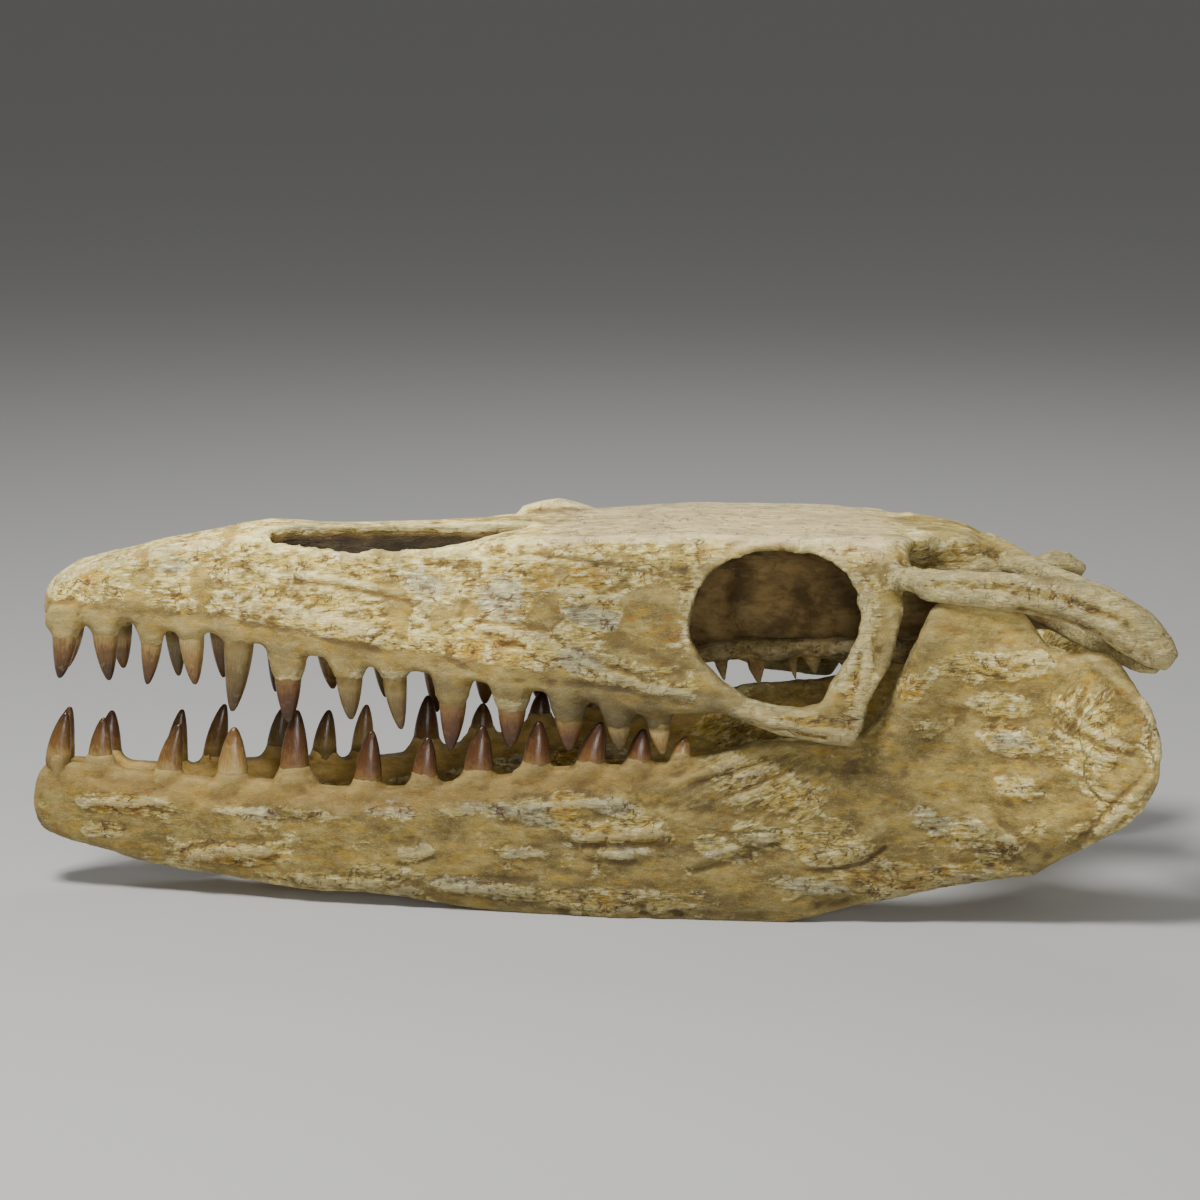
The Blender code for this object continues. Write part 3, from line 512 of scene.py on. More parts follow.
def make_cranium():
    """The cranium as one fused bone."""
    head = head_block()
    for cutter in (cheek_hollow(), naris_pit(LEFT), naris_pit(RIGHT),
                   plate("orbits", ORBIT, -OUTSIDE, -ORBIT_INSIDE),
                   plate("orbits", ORBIT, ORBIT_INSIDE, OUTSIDE),
                   plate("temples", BEHIND_ORBIT, -OUTSIDE, -TEMPLE_INSIDE),
                   plate("temples", BEHIND_ORBIT, TEMPLE_INSIDE, OUTSIDE)):
        subtract(head, cutter)
        discard(cutter)
    pieces = [head, braincase(), bar("knob", OCCIPITAL_KNOB, LEFT),
              bar("condyle", OCCIPITAL_CONDYLE, LEFT)]
    for points in (TEMPORAL_BAR, PARIETAL_WING, PAROCCIPITAL_BAR):
        pieces.append(bar("arch", points, LEFT))
    for points in (TEMPORAL_BAR_RIGHT, PARIETAL_WING_RIGHT, PAROCCIPITAL_BAR_RIGHT,
                   NARIS_HUMP_RIGHT):
        pieces.append(bar("arch", points, RIGHT))
    for side, table in ((LEFT, UPPER_TEETH), (RIGHT, UPPER_TEETH_RIGHT)):
        for station, height, half, _, _ in table:
            pieces.append(collar("collar", station, row_place(station, True), height, half,
                                 side, 1))
    made = merge("skull_cranium", pieces)
    fuse_bone(made, CRANIUM_VOXEL, 5)
    return made


cranium = make_cranium()
print("cranium faces:", len(cranium.data.polygons))

# %% [markdown]
# The two halves of the lower jaw are upright flat-sided bars that widen at the back into the
# quadrate. The pterygoids are slender bones of the palate with a row of short fused teeth.

# %% Put the jaws and the pterygoids together
def jaw_ring(station, side):
    """One upright ring of a jaw: flat-sided, rounded above and below."""
    top, bottom = at(JAW_TOP, station), at(JAW_BOTTOM, station)
    if side == RIGHT and station > TEMPORAL_BAR_RIGHT[1][0]:
        top = min(top, max(at(TEMPORAL_BAR_RIGHT, station, 2), bottom + 30))
    middle = at(JAW_MIDDLE, station)
    half = at(JAW_HALF_THICKNESS, station)
    ring = []
    for step in range(JAW_SIDES):
        c, s = superellipse(2 * math.pi * step / JAW_SIDES, JAW_SQUARENESS)
        height = (top + bottom) / 2 + s * (top - bottom) / 2
        ring.append(place(station, side * (middle + c * half), height))
    return ring


def make_jaw(name, side):
    """One half of the lower jaw, with the quadrate cemented to its back end."""
    stations = [1, 3, 7, 12, 20, *spaced(30, 590, 14), *spaced(597, 655, 6),
                *spaced(667, 700, 11), *spaced(706, 740, 6), *spaced(750, 795, 7), 799]
    pieces = [add_object("jaw", skin([jaw_ring(station, side) for station in stations],
                                     JAW_SIDES))]
    for station, height, half, _, _ in LOWER_TEETH if side == LEFT else LOWER_TEETH_RIGHT:
        pieces.append(collar("collar", station, row_place(station, False), height, half,
                             side, -1))
    made = merge(name, pieces)
    fuse_bone(made, JAW_VOXEL, 4)
    return made


def make_pterygoid(name, side):
    """One pterygoid: a slender palate bone with its own short row of fused teeth."""
    pieces = [bar("bone", PTERYGOID_BAR, side, 10)]
    for station, row, half, length in PTERYGOID_TEETH:
        rings = []
        for lean, depth, width in ((0, 0, 1.0), (0.8, 0.55, 0.75), (3, 1.0, 0.12)):
            middle = (station + lean, PTERYGOID_TOOTH_FOOT - length * depth)
            ring = []
            for step in range(8):
                c, s = math.cos(math.pi * step / 4), math.sin(math.pi * step / 4)
                ring.append(place(middle[0] + half * width * c,
                                  side * (row + min(half, 5) * width * s), middle[1]))
            rings.append(ring)
        pieces.append(add_object("tooth", skin(rings, 8)))
    made = merge(name, pieces)
    fuse_bone(made, PTERYGOID_VOXEL, 2)
    return made


jaws = {side: make_jaw(f"skull_jaw_{name}", side) for name, side in (("left", LEFT), ("right", RIGHT))}
pterygoids = {side: make_pterygoid(f"skull_pterygoid_{name}", side)
              for name, side in (("left", LEFT), ("right", RIGHT))}
print("jaw faces:", [len(jaw.data.polygons) for jaw in jaws.values()])
print("pterygoid faces:", [len(each.data.polygons) for each in pterygoids.values()])

# %% [markdown]
# ## Sculpting what the photograph shows
# Ridges, pits, grooves and broken edges lie along short paths. A path is read off the
# photograph in pixels, sight lines carry it onto the bone, and the surface is pushed out or in
# beside it with a soft falloff. The far side gets the same marks, mirrored.

# %% Read and move a bone's points
def points_of(made, what="co"):
    """A mesh's points or point normals as an array."""
    flat = np.empty(len(made.data.vertices) * 3)
    made.data.vertices.foreach_get(what, flat)
    return flat.reshape(-1, 3)


def set_points(made, points):
    """Write points back to a mesh."""
    made.data.vertices.foreach_set("co", points.ravel())
    made.data.update()


def ramp(values, start, end):
    """0 before start, 1 after end and a soft slope between them."""
    part = np.clip((values - start) / (end - start), 0, 1)
    return part * part * (3 - 2 * part)


SIGHT_TREES = {}


def seen_on(made, pixels):
    """Where sight lines through pixels of the photograph first meet a bone."""
    if made.name not in SIGHT_TREES:
        bm = bmesh.new()
        bm.from_mesh(made.data)
        SIGHT_TREES[made.name] = BVHTree.FromBMesh(bm)
        bm.free()
    found = []
    for right, down in pixels:
        hit = SIGHT_TREES[made.name].ray_cast(camera.location, sight_line(right, down))[0]
        if hit is None:
            print("no bone at pixel", right, down)
        else:
            found.append(hit)
    return found


def across_midline(points):
    """The same path on the other side of the skull."""
    middle = MIDDLE_SHIFT[1] * MM
    return [Vector((point.x, 2 * middle - point.y, point.z)) for point in points]


def near_path(here, path):
    """Distance of every point from a path, in millimetres."""
    nearest = np.full(len(here), 1e9)
    path = [np.array(point) for point in path]
    for start, end in zip(path[:-1] or path, path[1:] or path):
        run = end - start
        part = np.clip((here - start) @ run / max(run @ run, 1e-12), 0, 1)
        nearest = np.minimum(nearest, np.linalg.norm(here - start - part[:, None] * run, axis=1))
    return nearest / MM


def press(made, path, reach, push):
    """Raise or sink the surface along a path, out to about a reach, all in millimetres."""
    here, normal = points_of(made), points_of(made, "normal")
    lift = push * MM * np.exp(-(near_path(here, path) / reach) ** 2)
    set_points(made, here + normal * lift[:, None])


def press_seen(made, marks):
    """Press marks that are read off the photograph: reach, push and a path of pixels."""
    for reach, push, pixels in marks:
        path = seen_on(made, pixels)
        if path:
            press(made, path, reach, push)
            if made is cranium:
                press(made, across_midline(path), reach, push)


def melt(made, reach, turns, path):
    """Smooth both sides within a reach of a path, as cement smooths a joint."""
    here = points_of(made)
    near = np.minimum(near_path(here, path), near_path(here, across_midline(path))) < reach
    bm = bmesh.new()
    bm.from_mesh(made.data)
    joint = [vert for vert, close in zip(bm.verts, near) if close]
    for _ in range(turns):
        bmesh.ops.smooth_vert(bm, verts=joint, factor=0.5, use_axis_x=True, use_axis_y=True,
                              use_axis_z=True)
    bm.to_mesh(made.data)
    bm.free()
    print("melted points:", len(joint))


# %% Ridges, grooves and pits of the cranium
ORBIT_LIP = ((4, 2.2, ((700, 592), (716, 568), (740, 552), (770, 547), (800, 549), (830, 560),
                       (851, 580), (862, 604))),)
ORBIT_WALL = ((15, 6.0, ((755, 600), (765, 622))), (9, 3.5, ((835, 600), (845, 620))),
              (8, -5.0, ((725, 580), (722, 610))), (9, -5.0, ((800, 575), (805, 620))),
              (7, 4.0, ((708, 622), (712, 632))))
TEMPLE_SLOPE = ((11, 8.0, ((916, 552), (940, 558), (965, 565))),
                (9, 5.0, ((975, 566), (1000, 572))), (10, 2.5, ((868, 584), (884, 600))),
                (9, 4.0, ((898, 580), (914, 586))),
               (10, 5.0, ((914, 556), (930, 562), (955, 568))))
# Joints that cement has smoothed: reach, rounds of smoothing and a path.
BAR_ROOT = (15, 60, seen_on(cranium, ((864, 550), (876, 560), (890, 572), (902, 588))))
NARIS_RIM = (8, 14, [place(station, LEFT * (middle + half),
                           at(DORSAL_LINE, station) - at(SHOULDER_DROP, station))
                     for station, middle, half in NARIS])
TEMPLE_STEP = (12, 40, seen_on(cranium, ((906, 538), (910, 550), (914, 562), (935, 556),
                                         (965, 562))))
JUGAL_RIDGES = ((3.5, 2.0, ((735, 712), (770, 722), (805, 730), (845, 733))),
                (3, 1.6, ((742, 725), (785, 737), (830, 745), (858, 748))),
                (2.5, -1.6, ((740, 719), (780, 730), (825, 738))),
                (3, 1.8, ((868, 640), (866, 670), (858, 700), (856, 742))),
                (3, -1.4, ((880, 650), (878, 690), (868, 730))),
                (4, 1.8, ((893, 612), (897, 640), (888, 675))))
TEMPORAL_FIBRES = ((3, 1.8, ((925, 574), (990, 572), (1060, 584), (1120, 602), (1160, 632))),
                   (2.6, -1.0, ((935, 583), (1000, 585), (1060, 597), (1115, 617))),
                   (3, 1.4, ((940, 592), (1005, 597), (1060, 609), (1110, 627))),
                   (2.6, -1.2, ((950, 601), (1010, 606), (1060, 619), (1100, 634))),
                   (6, 3.5, ((930, 596), (965, 600), (1010, 606))),
                   (4, 2.0, ((976, 563), (1012, 566), (1060, 579))),
                   (5, 2.0, ((912, 575), (930, 570), (950, 570))))
SNOUT_GROOVES = ((2.0, -1.2, ((297, 580), (330, 584), (365, 592), (396, 599), (420, 603))),
                 (2.4, 0.9, ((300, 575), (335, 578), (370, 586), (400, 593))),
                 (3, -1.0, ((208, 603), (222, 613), (241, 622), (270, 626), (298, 630),
                            (330, 640), (353, 644), (377, 650))),
                 (3, -0.6, ((62, 596), (97, 608), (120, 611), (143, 614), (174, 614), (193, 612))),
                 (3, -1.0, ((446, 648), (450, 660), (481, 676), (516, 681), (556, 683),
                            (590, 686), (634, 690))),
                 (3.5, -0.7, ((446, 640), (460, 615), (470, 590), (463, 565))),
                 (2.6, -1.0, ((474, 621), (505, 624), (542, 628), (565, 645), (600, 664), (640, 676))),
                 (3, 1.2, ((480, 627), (515, 632), (550, 636))),
                 (4, 1.4, ((575, 652), (605, 672), (640, 686), (690, 697), (730, 706))),
                 (6, -0.6, ((139, 560), (137, 580), (141, 598))),
                 (5, -0.5, ((199, 568), (200, 588), (203, 604))),
                 (7, 1.6, ((260, 600), (300, 612), (345, 624), (370, 632))),
                 (6, -0.8, ((400, 640), (415, 600), (440, 570))),
                 (7, 1.4, ((560, 590), (600, 600), (650, 600))),
                 (8, -2.0, ((620, 640), (650, 655), (680, 670))))
FORAMINA = ((1.8, -2.2, ((256, 545), (258, 545))), (1.6, -1.6, ((244, 565), (246, 565))),
            (1.5, -1.6, ((318, 561), (322, 562))), (2.2, -2.6, ((297, 581), (302, 582))),
            (1.8, -2.4, ((243, 601), (250, 598))), (1.6, -1.8, ((226, 598), (231, 598))),
            (2.2, -2.8, ((306, 608), (314, 606))), (2.2, -2.6, ((347, 616), (355, 615))),
            (1.8, -2.2, ((372, 640), (376, 636), (382, 634))), (2.0, -2.0, ((413, 627), (420, 627))),
            (1.8, -2.6, ((504, 645), (514, 644), (524, 647))), (1.8, -1.8, ((168, 572), (176, 573))),
            (1.6, -1.4, ((59, 588), (61, 588))), (1.5, -1.4, ((476, 566), (482, 568))))
SUTURES = ((2.2, -1.4, ((425, 562), (460, 565), (478, 564), (480, 573))),
           (2.4, -1.2, ((520, 552), (575, 558), (620, 566), (660, 575))),
           (6, -1.4, ((683, 566), (690, 590), (688, 620))))
NARIS_EDGES = ((11, -2.2, ((325, 538), (360, 541), (400, 542), (430, 541))),
               (5, -1.6, ((455, 540), (470, 545), (500, 548))))

melt(cranium, *BAR_ROOT)
for marks in (ORBIT_WALL, TEMPLE_SLOPE, ORBIT_LIP, JUGAL_RIDGES, TEMPORAL_FIBRES, SNOUT_GROOVES,
              FORAMINA, SUTURES, NARIS_EDGES):
    press_seen(cranium, marks)
melt(cranium, *TEMPLE_STEP)
melt(cranium, *NARIS_RIM)
print("cranium marks pressed")

# %% Mounds, ridges and broken edges of the lower jaw
REAR_RIDGES = ((5, 2.6, ((987, 825), (1010, 840), (1032, 862), (1050, 872))),
               (4, -0.8, ((1000, 822), (1028, 842), (1048, 856))),
               (4, 2.4, ((1160, 775), (1140, 792), (1100, 830), (1085, 858))),
               (3, -1.3, ((1146, 772), (1114, 802), (1083, 836))),
               (5, 2.0, ((1100, 668), (1130, 690), (1152, 720), (1160, 755))),
               (3, -0.7, ((1085, 690), (1072, 730), (1068, 765))),
               (3, 1.6, ((1062, 705), (1090, 730), (1130, 748))),
               (3, 1.4, ((1060, 735), (1095, 755), (1135, 762))),
               (2.6, -0.7, ((1062, 722), (1095, 744), (1130, 756))),
               (9, -3.0, ((852, 770), (870, 740), (890, 705), (905, 670))),
               (10, -2.5, ((905, 770), (940, 745), (960, 715))),
               (8, 2.2, ((975, 705), (1000, 704), (1022, 702))),
               (8, 2.2, ((985, 744), (1012, 740), (1040, 733))),
               (7, 2.0, ((1000, 792), (1022, 786), (1045, 778))),
               (8, 2.0, ((930, 640), (980, 655), (1040, 660))),
               (7, 1.8, ((900, 822), (925, 815), (950, 805))))
JAW_MOUNDS = ((6, 3.2, ((193, 858), (215, 852), (240, 850), (268, 851))),
              (3, -1.0, ((190, 846), (225, 841), (262, 841))),
              (6, 2.0, ((285, 802), (315, 806), (345, 812))),
              (6, 2.4, ((580, 838), (615, 834), (660, 832))),
              (4, 2.2, ((590, 852), (625, 855), (652, 853))),
              (4, -0.9, ((575, 846), (615, 845), (655, 843))),
              (6, 2.6, ((692, 862), (715, 853), (745, 840), (770, 836))),
              (4, -1.0, ((690, 870), (720, 864), (748, 856))),
              (10, 3.4, ((800, 862), (830, 856), (860, 844), (880, 830))),
              (2.2, -1.5, ((795, 866), (824, 870), (846, 867), (869, 860), (885, 848))),
              (5, 2.0, ((495, 803), (530, 806), (560, 804), (620, 800))),
              (4, -0.9, ((500, 822), (550, 826), (600, 816), (650, 806))),
              (4, 1.6, ((505, 853), (525, 855), (545, 853))),
              (5, 1.8, ((395, 855), (420, 851), (434, 847))),
              (5, 2.0, ((440, 886), (485, 890), (530, 892))),
              (3, -0.7, ((440, 878), (490, 880), (535, 880))),
              (5, 1.8, ((300, 876), (345, 882), (410, 890))),
              (3, 1.4, ((674, 784), (705, 772), (740, 759), (767, 750))),
              (2, -1.0, ((690, 787), (725, 774), (765, 760))),
              (3, 0.8, ((700, 795), (735, 781), (775, 765))),
              (2, -0.9, ((712, 802), (750, 788), (790, 770))),
              (7, -2.0, ((640, 800), (680, 808), (730, 815), (790, 812))),
              (4, 1.6, ((205, 808), (235, 811), (262, 812))),
              (4, 1.6, ((80, 800), (120, 803), (165, 800))),
              (3, -0.6, ((90, 808), (130, 812), (160, 810))))
JAW_CHIPS = ((5, -3.5, ((640, 909), (642, 914))), (4, -3.0, ((675, 912), (678, 916))),
             (6, -3.0, ((820, 905), (845, 903))), (5, -2.5, ((560, 912), (566, 917))))

PTERYGOID_LUMPS = ((6, 3.0, ((715, 650), (722, 652))), (5, -2.5, ((742, 650),)),
                   (7, 3.0, ((768, 655), (780, 655))), (5, -2.5, ((806, 652),)),
                   (7, 2.5, ((835, 652), (845, 650))))

press_seen(pterygoids[LEFT], PTERYGOID_LUMPS)
press_seen(jaws[LEFT], REAR_RIDGES + JAW_MOUNDS + JAW_CHIPS)
for reach, push, pixels in REAR_RIDGES + JAW_MOUNDS:
    press(jaws[RIGHT], across_midline(seen_on(jaws[LEFT], pixels)), reach, push)
print("jaw marks pressed")

# %% [markdown]
# ## Nodes written as Python
# A material and a Geometry Nodes relief are both node trees. This small class wraps a socket
# so that sums on it add Math nodes, and one method makes any other node. The relief and the
# colours then share one recipe for the bone's patches, so a raised chip is also a pale chip.

# %% A socket that Python can do sums with
class Wire:
    """A node socket in a tree, with the operators that its sums need."""

    def __init__(self, tree, socket=None):
        self.tree, self.socket = tree, socket

    def node(self, kind, settings=None, inputs=None, output=0):
        """Add a node: its settings first, then its sockets' values or links."""
        made = self.tree.nodes.new(kind)
        for name, value in (settings or {}).items():
            setattr(made, name, value)
        for key, value in (inputs or {}).items():
            if isinstance(value, Wire):
                self.tree.links.new(value.socket, made.inputs[key])
            else:
                made.inputs[key].default_value = value
        return Wire(self.tree, made.outputs[output])

    def maths(self, operation, *values):
        return self.node("ShaderNodeMath", {"operation": operation}, dict(enumerate(values)))

    def __add__(self, other):
        return self.maths("ADD", self, other)

    def __sub__(self, other):
        return self.maths("SUBTRACT", self, other)

    def __rsub__(self, other):
        return self.maths("SUBTRACT", other, self)

    def __mul__(self, other):
        return self.maths("MULTIPLY", self, other)

    __radd__, __rmul__ = __add__, __mul__

    def rise(self, start, end):
        """0 before start, 1 after end, with a soft slope."""
        return self.node("ShaderNodeMapRange", {"interpolation_type": "SMOOTHSTEP"},
                         {0: self, 1: start, 2: end, 3: 0.0, 4: 1.0})

    def off(self, level):
        """How far a value is from a level, either way."""
        return self.maths("ABSOLUTE", self - level)

    def stretch(self, x, y, z):
        """Scale a vector along its axes."""
        return self.node("ShaderNodeVectorMath", {"operation": "MULTIPLY"}, {0: self, 1: (x, y, z)})

    def shift(self, other):
        """Add another vector."""
        return self.node("ShaderNodeVectorMath", {"operation": "ADD"}, {0: self, 1: other})

    def noise(self, size, detail=2.0, roughness=0.5, output=0):
        """A cloudy pattern with blobs of about a size in millimetres."""
        return self.node("ShaderNodeTexNoise", {}, {"Vector": self, "Scale": 1 / (size * MM),
                                                    "Detail": detail, "Roughness": roughness}, output)

    def cells(self, size, feature="F1", output="Color"):
        """A pattern of broken cells of about a size in millimetres."""
        return self.node("ShaderNodeTexVoronoi", {"feature": feature},
                         {"Vector": self, "Scale": 1 / (size * MM)}, output)

    def dimmed(self, share):
        """A colour times a number."""
        return self.node("ShaderNodeVectorMath", {"operation": "SCALE"}, {0: self, "Scale": share})

    def blend(self, first, second):
        """Mix two colours by this mask."""
        return self.node("ShaderNodeMix", {"data_type": "RGBA"}, {0: self, 6: first, 7: second}, 2)

    def read(self, name, vector=False):
        """A value that is kept on the surface's points."""
        if self.tree.bl_idname == "GeometryNodeTree":
            kind = "FLOAT_VECTOR" if vector else "FLOAT"
            return self.node("GeometryNodeInputNamedAttribute", {"data_type": kind},
                             {"Name": name})
        return self.node("ShaderNodeAttribute", {"attribute_name": name}, {},
                         "Vector" if vector else "Fac")


print("Wire is ready")

# %% [markdown]
# ## How the bone broke
# Patches of real bone stand a little proud of the sandy filler. Each patch is crazed into long
# chips with their own tint, cut by fine brown cracks and combed by fibres that run along the
# bone. Values kept on the surface say where bone is likely, and where its fibres turn.

# %% The pattern that relief and colour share
def bone_pattern(wire):
    """Masks of the broken bone, by name."""
    rest, lay = wire.read("rest", True), wire.read("lay", True)
    spread = rest.stretch(0.5, 1, 1).shift(rest.noise(9, 4, 0.65, 1).stretch(0.010, 0.010, 0.010))
    patch = ((spread.noise(24, 6, 0.66) - 0.5) * 1.7 + wire.read("bone")).rise(-0.03, 0.05)
    chip_place = lay.stretch(0.45, 1, 1).shift(rest.noise(6, 3, 0.6, 1).stretch(0.009, 0.009, 0.009))
    chip = chip_place.cells(7)
    along = lay.stretch(0.3, 1, 1).noise(12, 3, 0.6)
    across = lay.stretch(1, 0.5, 0.5).noise(9, 3, 0.6)
    crack = (1 - along.off(0.5).rise(0.0, 0.022)) * rest.noise(15, 2, 0.5).rise(0.46, 0.56)
    split = (1 - across.off(0.47).rise(0.0, 0.020)) * rest.noise(12, 2, 0.5).rise(0.50, 0.60)
    crack = wire.maths("MAXIMUM", crack, split * patch) * (patch * 0.7 + 0.3)
    fibre = lay.stretch(0.09, 1, 1).noise(1.7, 3, 0.6)
    flake = lay.stretch(0.25, 1, 1).noise(6, 4, 0.65)
    return {"rest": rest, "lay": lay, "patch": patch, "chip": chip, "crack": crack,
            "fibre": fibre, "flake": flake}


def chip_value(wire, chip):
    """One random number from a chip's random colour."""
    return wire.node("ShaderNodeSeparateXYZ", {}, {0: chip})


print("pattern ready")

# %% Press the pattern into the meshes
def relief_tree(name, mound, lump, proud):
    """Geometry Nodes that push the surface out and in, with heights in millimetres."""
    tree = bpy.data.node_groups.new(name, "GeometryNodeTree")
    tree.interface.new_socket("Geometry", in_out="INPUT", socket_type="NodeSocketGeometry")
    tree.interface.new_socket("Geometry", in_out="OUTPUT", socket_type="NodeSocketGeometry")
    wire = Wire(tree)
    shape = wire.node("NodeGroupInput")
    got = bone_pattern(wire)
    mounds = got["rest"].stretch(0.4, 1, 1).noise(42, 2, 0.5) - 0.5
    lumps = got["rest"].stretch(0.6, 1, 1).noise(11, 3, 0.55) - 0.5
    chips = (chip_value(wire, got["chip"]) - 0.5) * got["patch"]
    height = (mounds * mound + lumps * lump + got["patch"] * proud + chips * 0.4
              + (got["flake"] - 0.5) * (got["patch"] + 0.35) * (lump * 0.4) - got["crack"] * 0.4)
    push = wire.node("ShaderNodeVectorMath", {"operation": "SCALE"},
                     {0: wire.node("GeometryNodeInputNormal"), "Scale": height * MM * wire.read("rough")})
    moved = wire.node("GeometryNodeSetPosition", {}, {"Geometry": shape, "Offset": push})
    end = tree.nodes.new("NodeGroupOutput")
    tree.links.new(moved.socket, end.inputs[0])
    return tree


print("relief ready")

# %% [markdown]
# ## Where each finish lies
# Soft patches on the surface hold numbers: how likely bone is, how grey or ochre it is, how
# brown it turns with painted shade, how painted light brightens or darkens it, and which way
# its fibres run. Each patch is an oval, read off the photograph as the pixel of its middle, two
# half-sizes and a tilt. The shader's noise then breaks the oval's edge.

# %% Ovals of bone and filler on the cranium
# Each oval: right, down, half-length, half-height, tilt in degrees, bone, grey, ochre.
PIXEL = 0.70
CRANIUM_OVALS = (
    (172, 580, 14, 8, 0, 1, 0.2, 0.0), (174, 564, 15, 7, 0, 1, 0.9, 0.0),
    (139, 577, 14, 24, 0, -1, 0, 0), (200, 588, 11, 22, 0, -1, 0, 0.3),
    (229, 553, 9, 18, 0, -1, 0, 0.1), (90, 574, 16, 9, -20, 1, 0, 0.7),
    (95, 556, 30, 6, -25, 1, 0.0, 0.1), (65, 590, 16, 10, 0, 1, 0.0, 0.2),
    (270, 560, 36, 18, 0, 1, 0.1, 0.1), (330, 570, 40, 22, 5, 1, 0.1, 0.0),
    (300, 612, 60, 14, 8, 1, 0.0, 0.3), (380, 620, 24, 14, 10, 1, 0.1, 0.2),
    (414, 587, 27, 17, 0, 1, 0.7, 0.0), (350, 600, 30, 9, 10, 1, 0.0, 0.0),
    (400, 610, 14, 30, -20, -1, 0, 0.3), (423, 628, 14, 16, 0, 1, 0.3, 0.0),
    (440, 630, 10, 26, 0, -1, 0, 0.1), (462, 608, 20, 12, 0, -1, 0, 0.0),
    (483, 648, 38, 22, 5, 1, 0.1, 0.6), (507, 598, 27, 22, 5, 1, 0.8, 0.0),
    (468, 568, 20, 9, 0, 1, 0.1, 0.0), (525, 566, 26, 7, 0, 1, 0.0, 0.0),
    (540, 590, 16, 20, 0, 1, 0.2, 0.7), (571, 639, 25, 10, 5, 1, 0.2, 0.0),
    (578, 662, 25, 12, 20, 1, 0.9, 0.0), (614, 678, 26, 9, 10, 1, 0.2, 0.1),
    (597, 618, 30, 10, 12, 1, 0.9, 0.0), (628, 577, 22, 13, 0, 1, 0.4, 0.3),
    (591, 577, 18, 8, 0, 1, 0.0, 1.0), (654, 624, 24, 14, 0, -1, 0, 0.9),
    (545, 612, 14, 16, 0, -1, 0, 0.2), (630, 645, 22, 14, 0, -1, 0, 0.2),
    (668, 697, 32, 11, 10, 1, 0.5, 0.0), (650, 600, 26, 12, 0, -1, 0, 0.1),
    (300, 648, 260, 10, 6, -1, 0, 0.2), (540, 690, 110, 9, 3, -1, 0, 0.1),
    (140, 622, 90, 8, 0, -1, 0, 0.1),
    (795, 728, 60, 14, 12, 1, 0.4, 0.6), (860, 700, 14, 50, 0, 1, 0.3, 0.5),
    (750, 560, 50, 14, -15, 1, 0.0, 0.0), (705, 620, 12, 60, 0, -1, 0, 0.2),
    (890, 640, 14, 50, 0, -1, 0, 0.1), (980, 590, 60, 16, 8, 1, 0.1, 0.5),
    (1060, 600, 60, 14, 12, 1, 0.0, 0.3), (1130, 620, 40, 20, 35, 1, 0.0, 0.5),
    (990, 540, 60, 10, 15, -1, 0, 0.0), (1020, 570, 40, 6, 8, 1, 0.2, 0.1))
JAW_OVALS = (
    (122, 803, 42, 11, 0, 1, 0.0, 0.7), (235, 811, 22, 5, 0, 1, 0.0, 0.1),
    (259, 813, 17, 7, 0, 1, 0.9, 0.0), (315, 807, 38, 14, 6, 1, 0.4, 0.0),
    (385, 807, 34, 9, 0, 1, 0.8, 0.0), (231, 853, 44, 12, -3, 1, 0.0, 0.9),
    (184, 864, 14, 6, 10, 1, 0.4, 0.0), (358, 886, 60, 8, 6, 1, 0.1, 0.2),
    (417, 852, 20, 8, -10, 1, 0.2, 0.0), (100, 830, 20, 8, 0, 1, 0.3, 0.2),
    (519, 808, 30, 13, 0, 1, 0.7, 0.0), (566, 804, 14, 15, 0, 1, 0.0, 0.8),
    (607, 804, 30, 8, 8, 1, 0.8, 0.0), (540, 823, 20, 5, 0, 1, 0.9, 0.0),
    (620, 835, 48, 9, 3, 1, 0.0, 0.8), (628, 853, 26, 8, 0, 1, 0.8, 0.0),
    (524, 853, 20, 6, 0, 1, 0.7, 0.0), (486, 889, 48, 8, 3, 1, 0.6, 0.1),
    (720, 850, 32, 9, 18, 1, 0.5, 0.0), (760, 835, 22, 10, 10, 1, 0.5, 0.1),
    (838, 846, 46, 18, 20, 1, 0.2, 0.3), (743, 781, 66, 22, 22, 1, 0.2, 0.4),
    (618, 901, 68, 9, 0, 1, 0.0, 0.5), (815, 884, 38, 8, 4, 1, 0.8, 0.0),
    (880, 880, 50, 12, 8, 1, 0.1, 0.6), (610, 897, 13, 6, 0, 1, 0.0, 1.0),
    (460, 806, 30, 10, 0, 1, 0.6, 0.1), (998, 704, 26, 10, 4, 1, 0.1, 0.2),
    (1012, 741, 28, 12, 8, 1, 0.6, 0.0), (1022, 787, 24, 11, 12, 1, 0.3, 0.1),
    (1000, 666, 46, 14, -5, 1, 0.1, 0.2), (912, 690, 10, 12, 0, 1, 0.0, 1.0),
    (930, 820, 26, 12, 20, 1, 0.9, 0.0), (1085, 730, 34, 32, 0, 1, 0.1, 0.2),
    (1010, 845, 30, 10, -35, 1, 0.0, 0.1), (1120, 815, 50, 9, 42, 1, 0.0, 0.3),
    (1150, 720, 9, 40, 0, 1, 0.1, 0.2), (968, 832, 18, 14, 0, 1, 0.3, 0.1),
    (980, 875, 90, 8, 3, 1, 0.0, 0.5), (870, 700, 30, 40, 30, -1, 0, 0.0),
    (1010, 820, 20, 14, 0, -1, 0, 0.1), (940, 760, 40, 24, 0, -1, 0, 0.0))
print("ovals:", len(CRANIUM_OVALS), len(JAW_OVALS))


# %% Keep the finishes on the surface
def keep(made, name, values):
    """Store one number, or a vector, for each point of a mesh."""
    vector = values.ndim == 2
    layer = made.data.attributes.new(name, "FLOAT_VECTOR" if vector else "FLOAT", "POINT")
    layer.data.foreach_set("vector" if vector else "value", values.astype(np.float32).ravel())


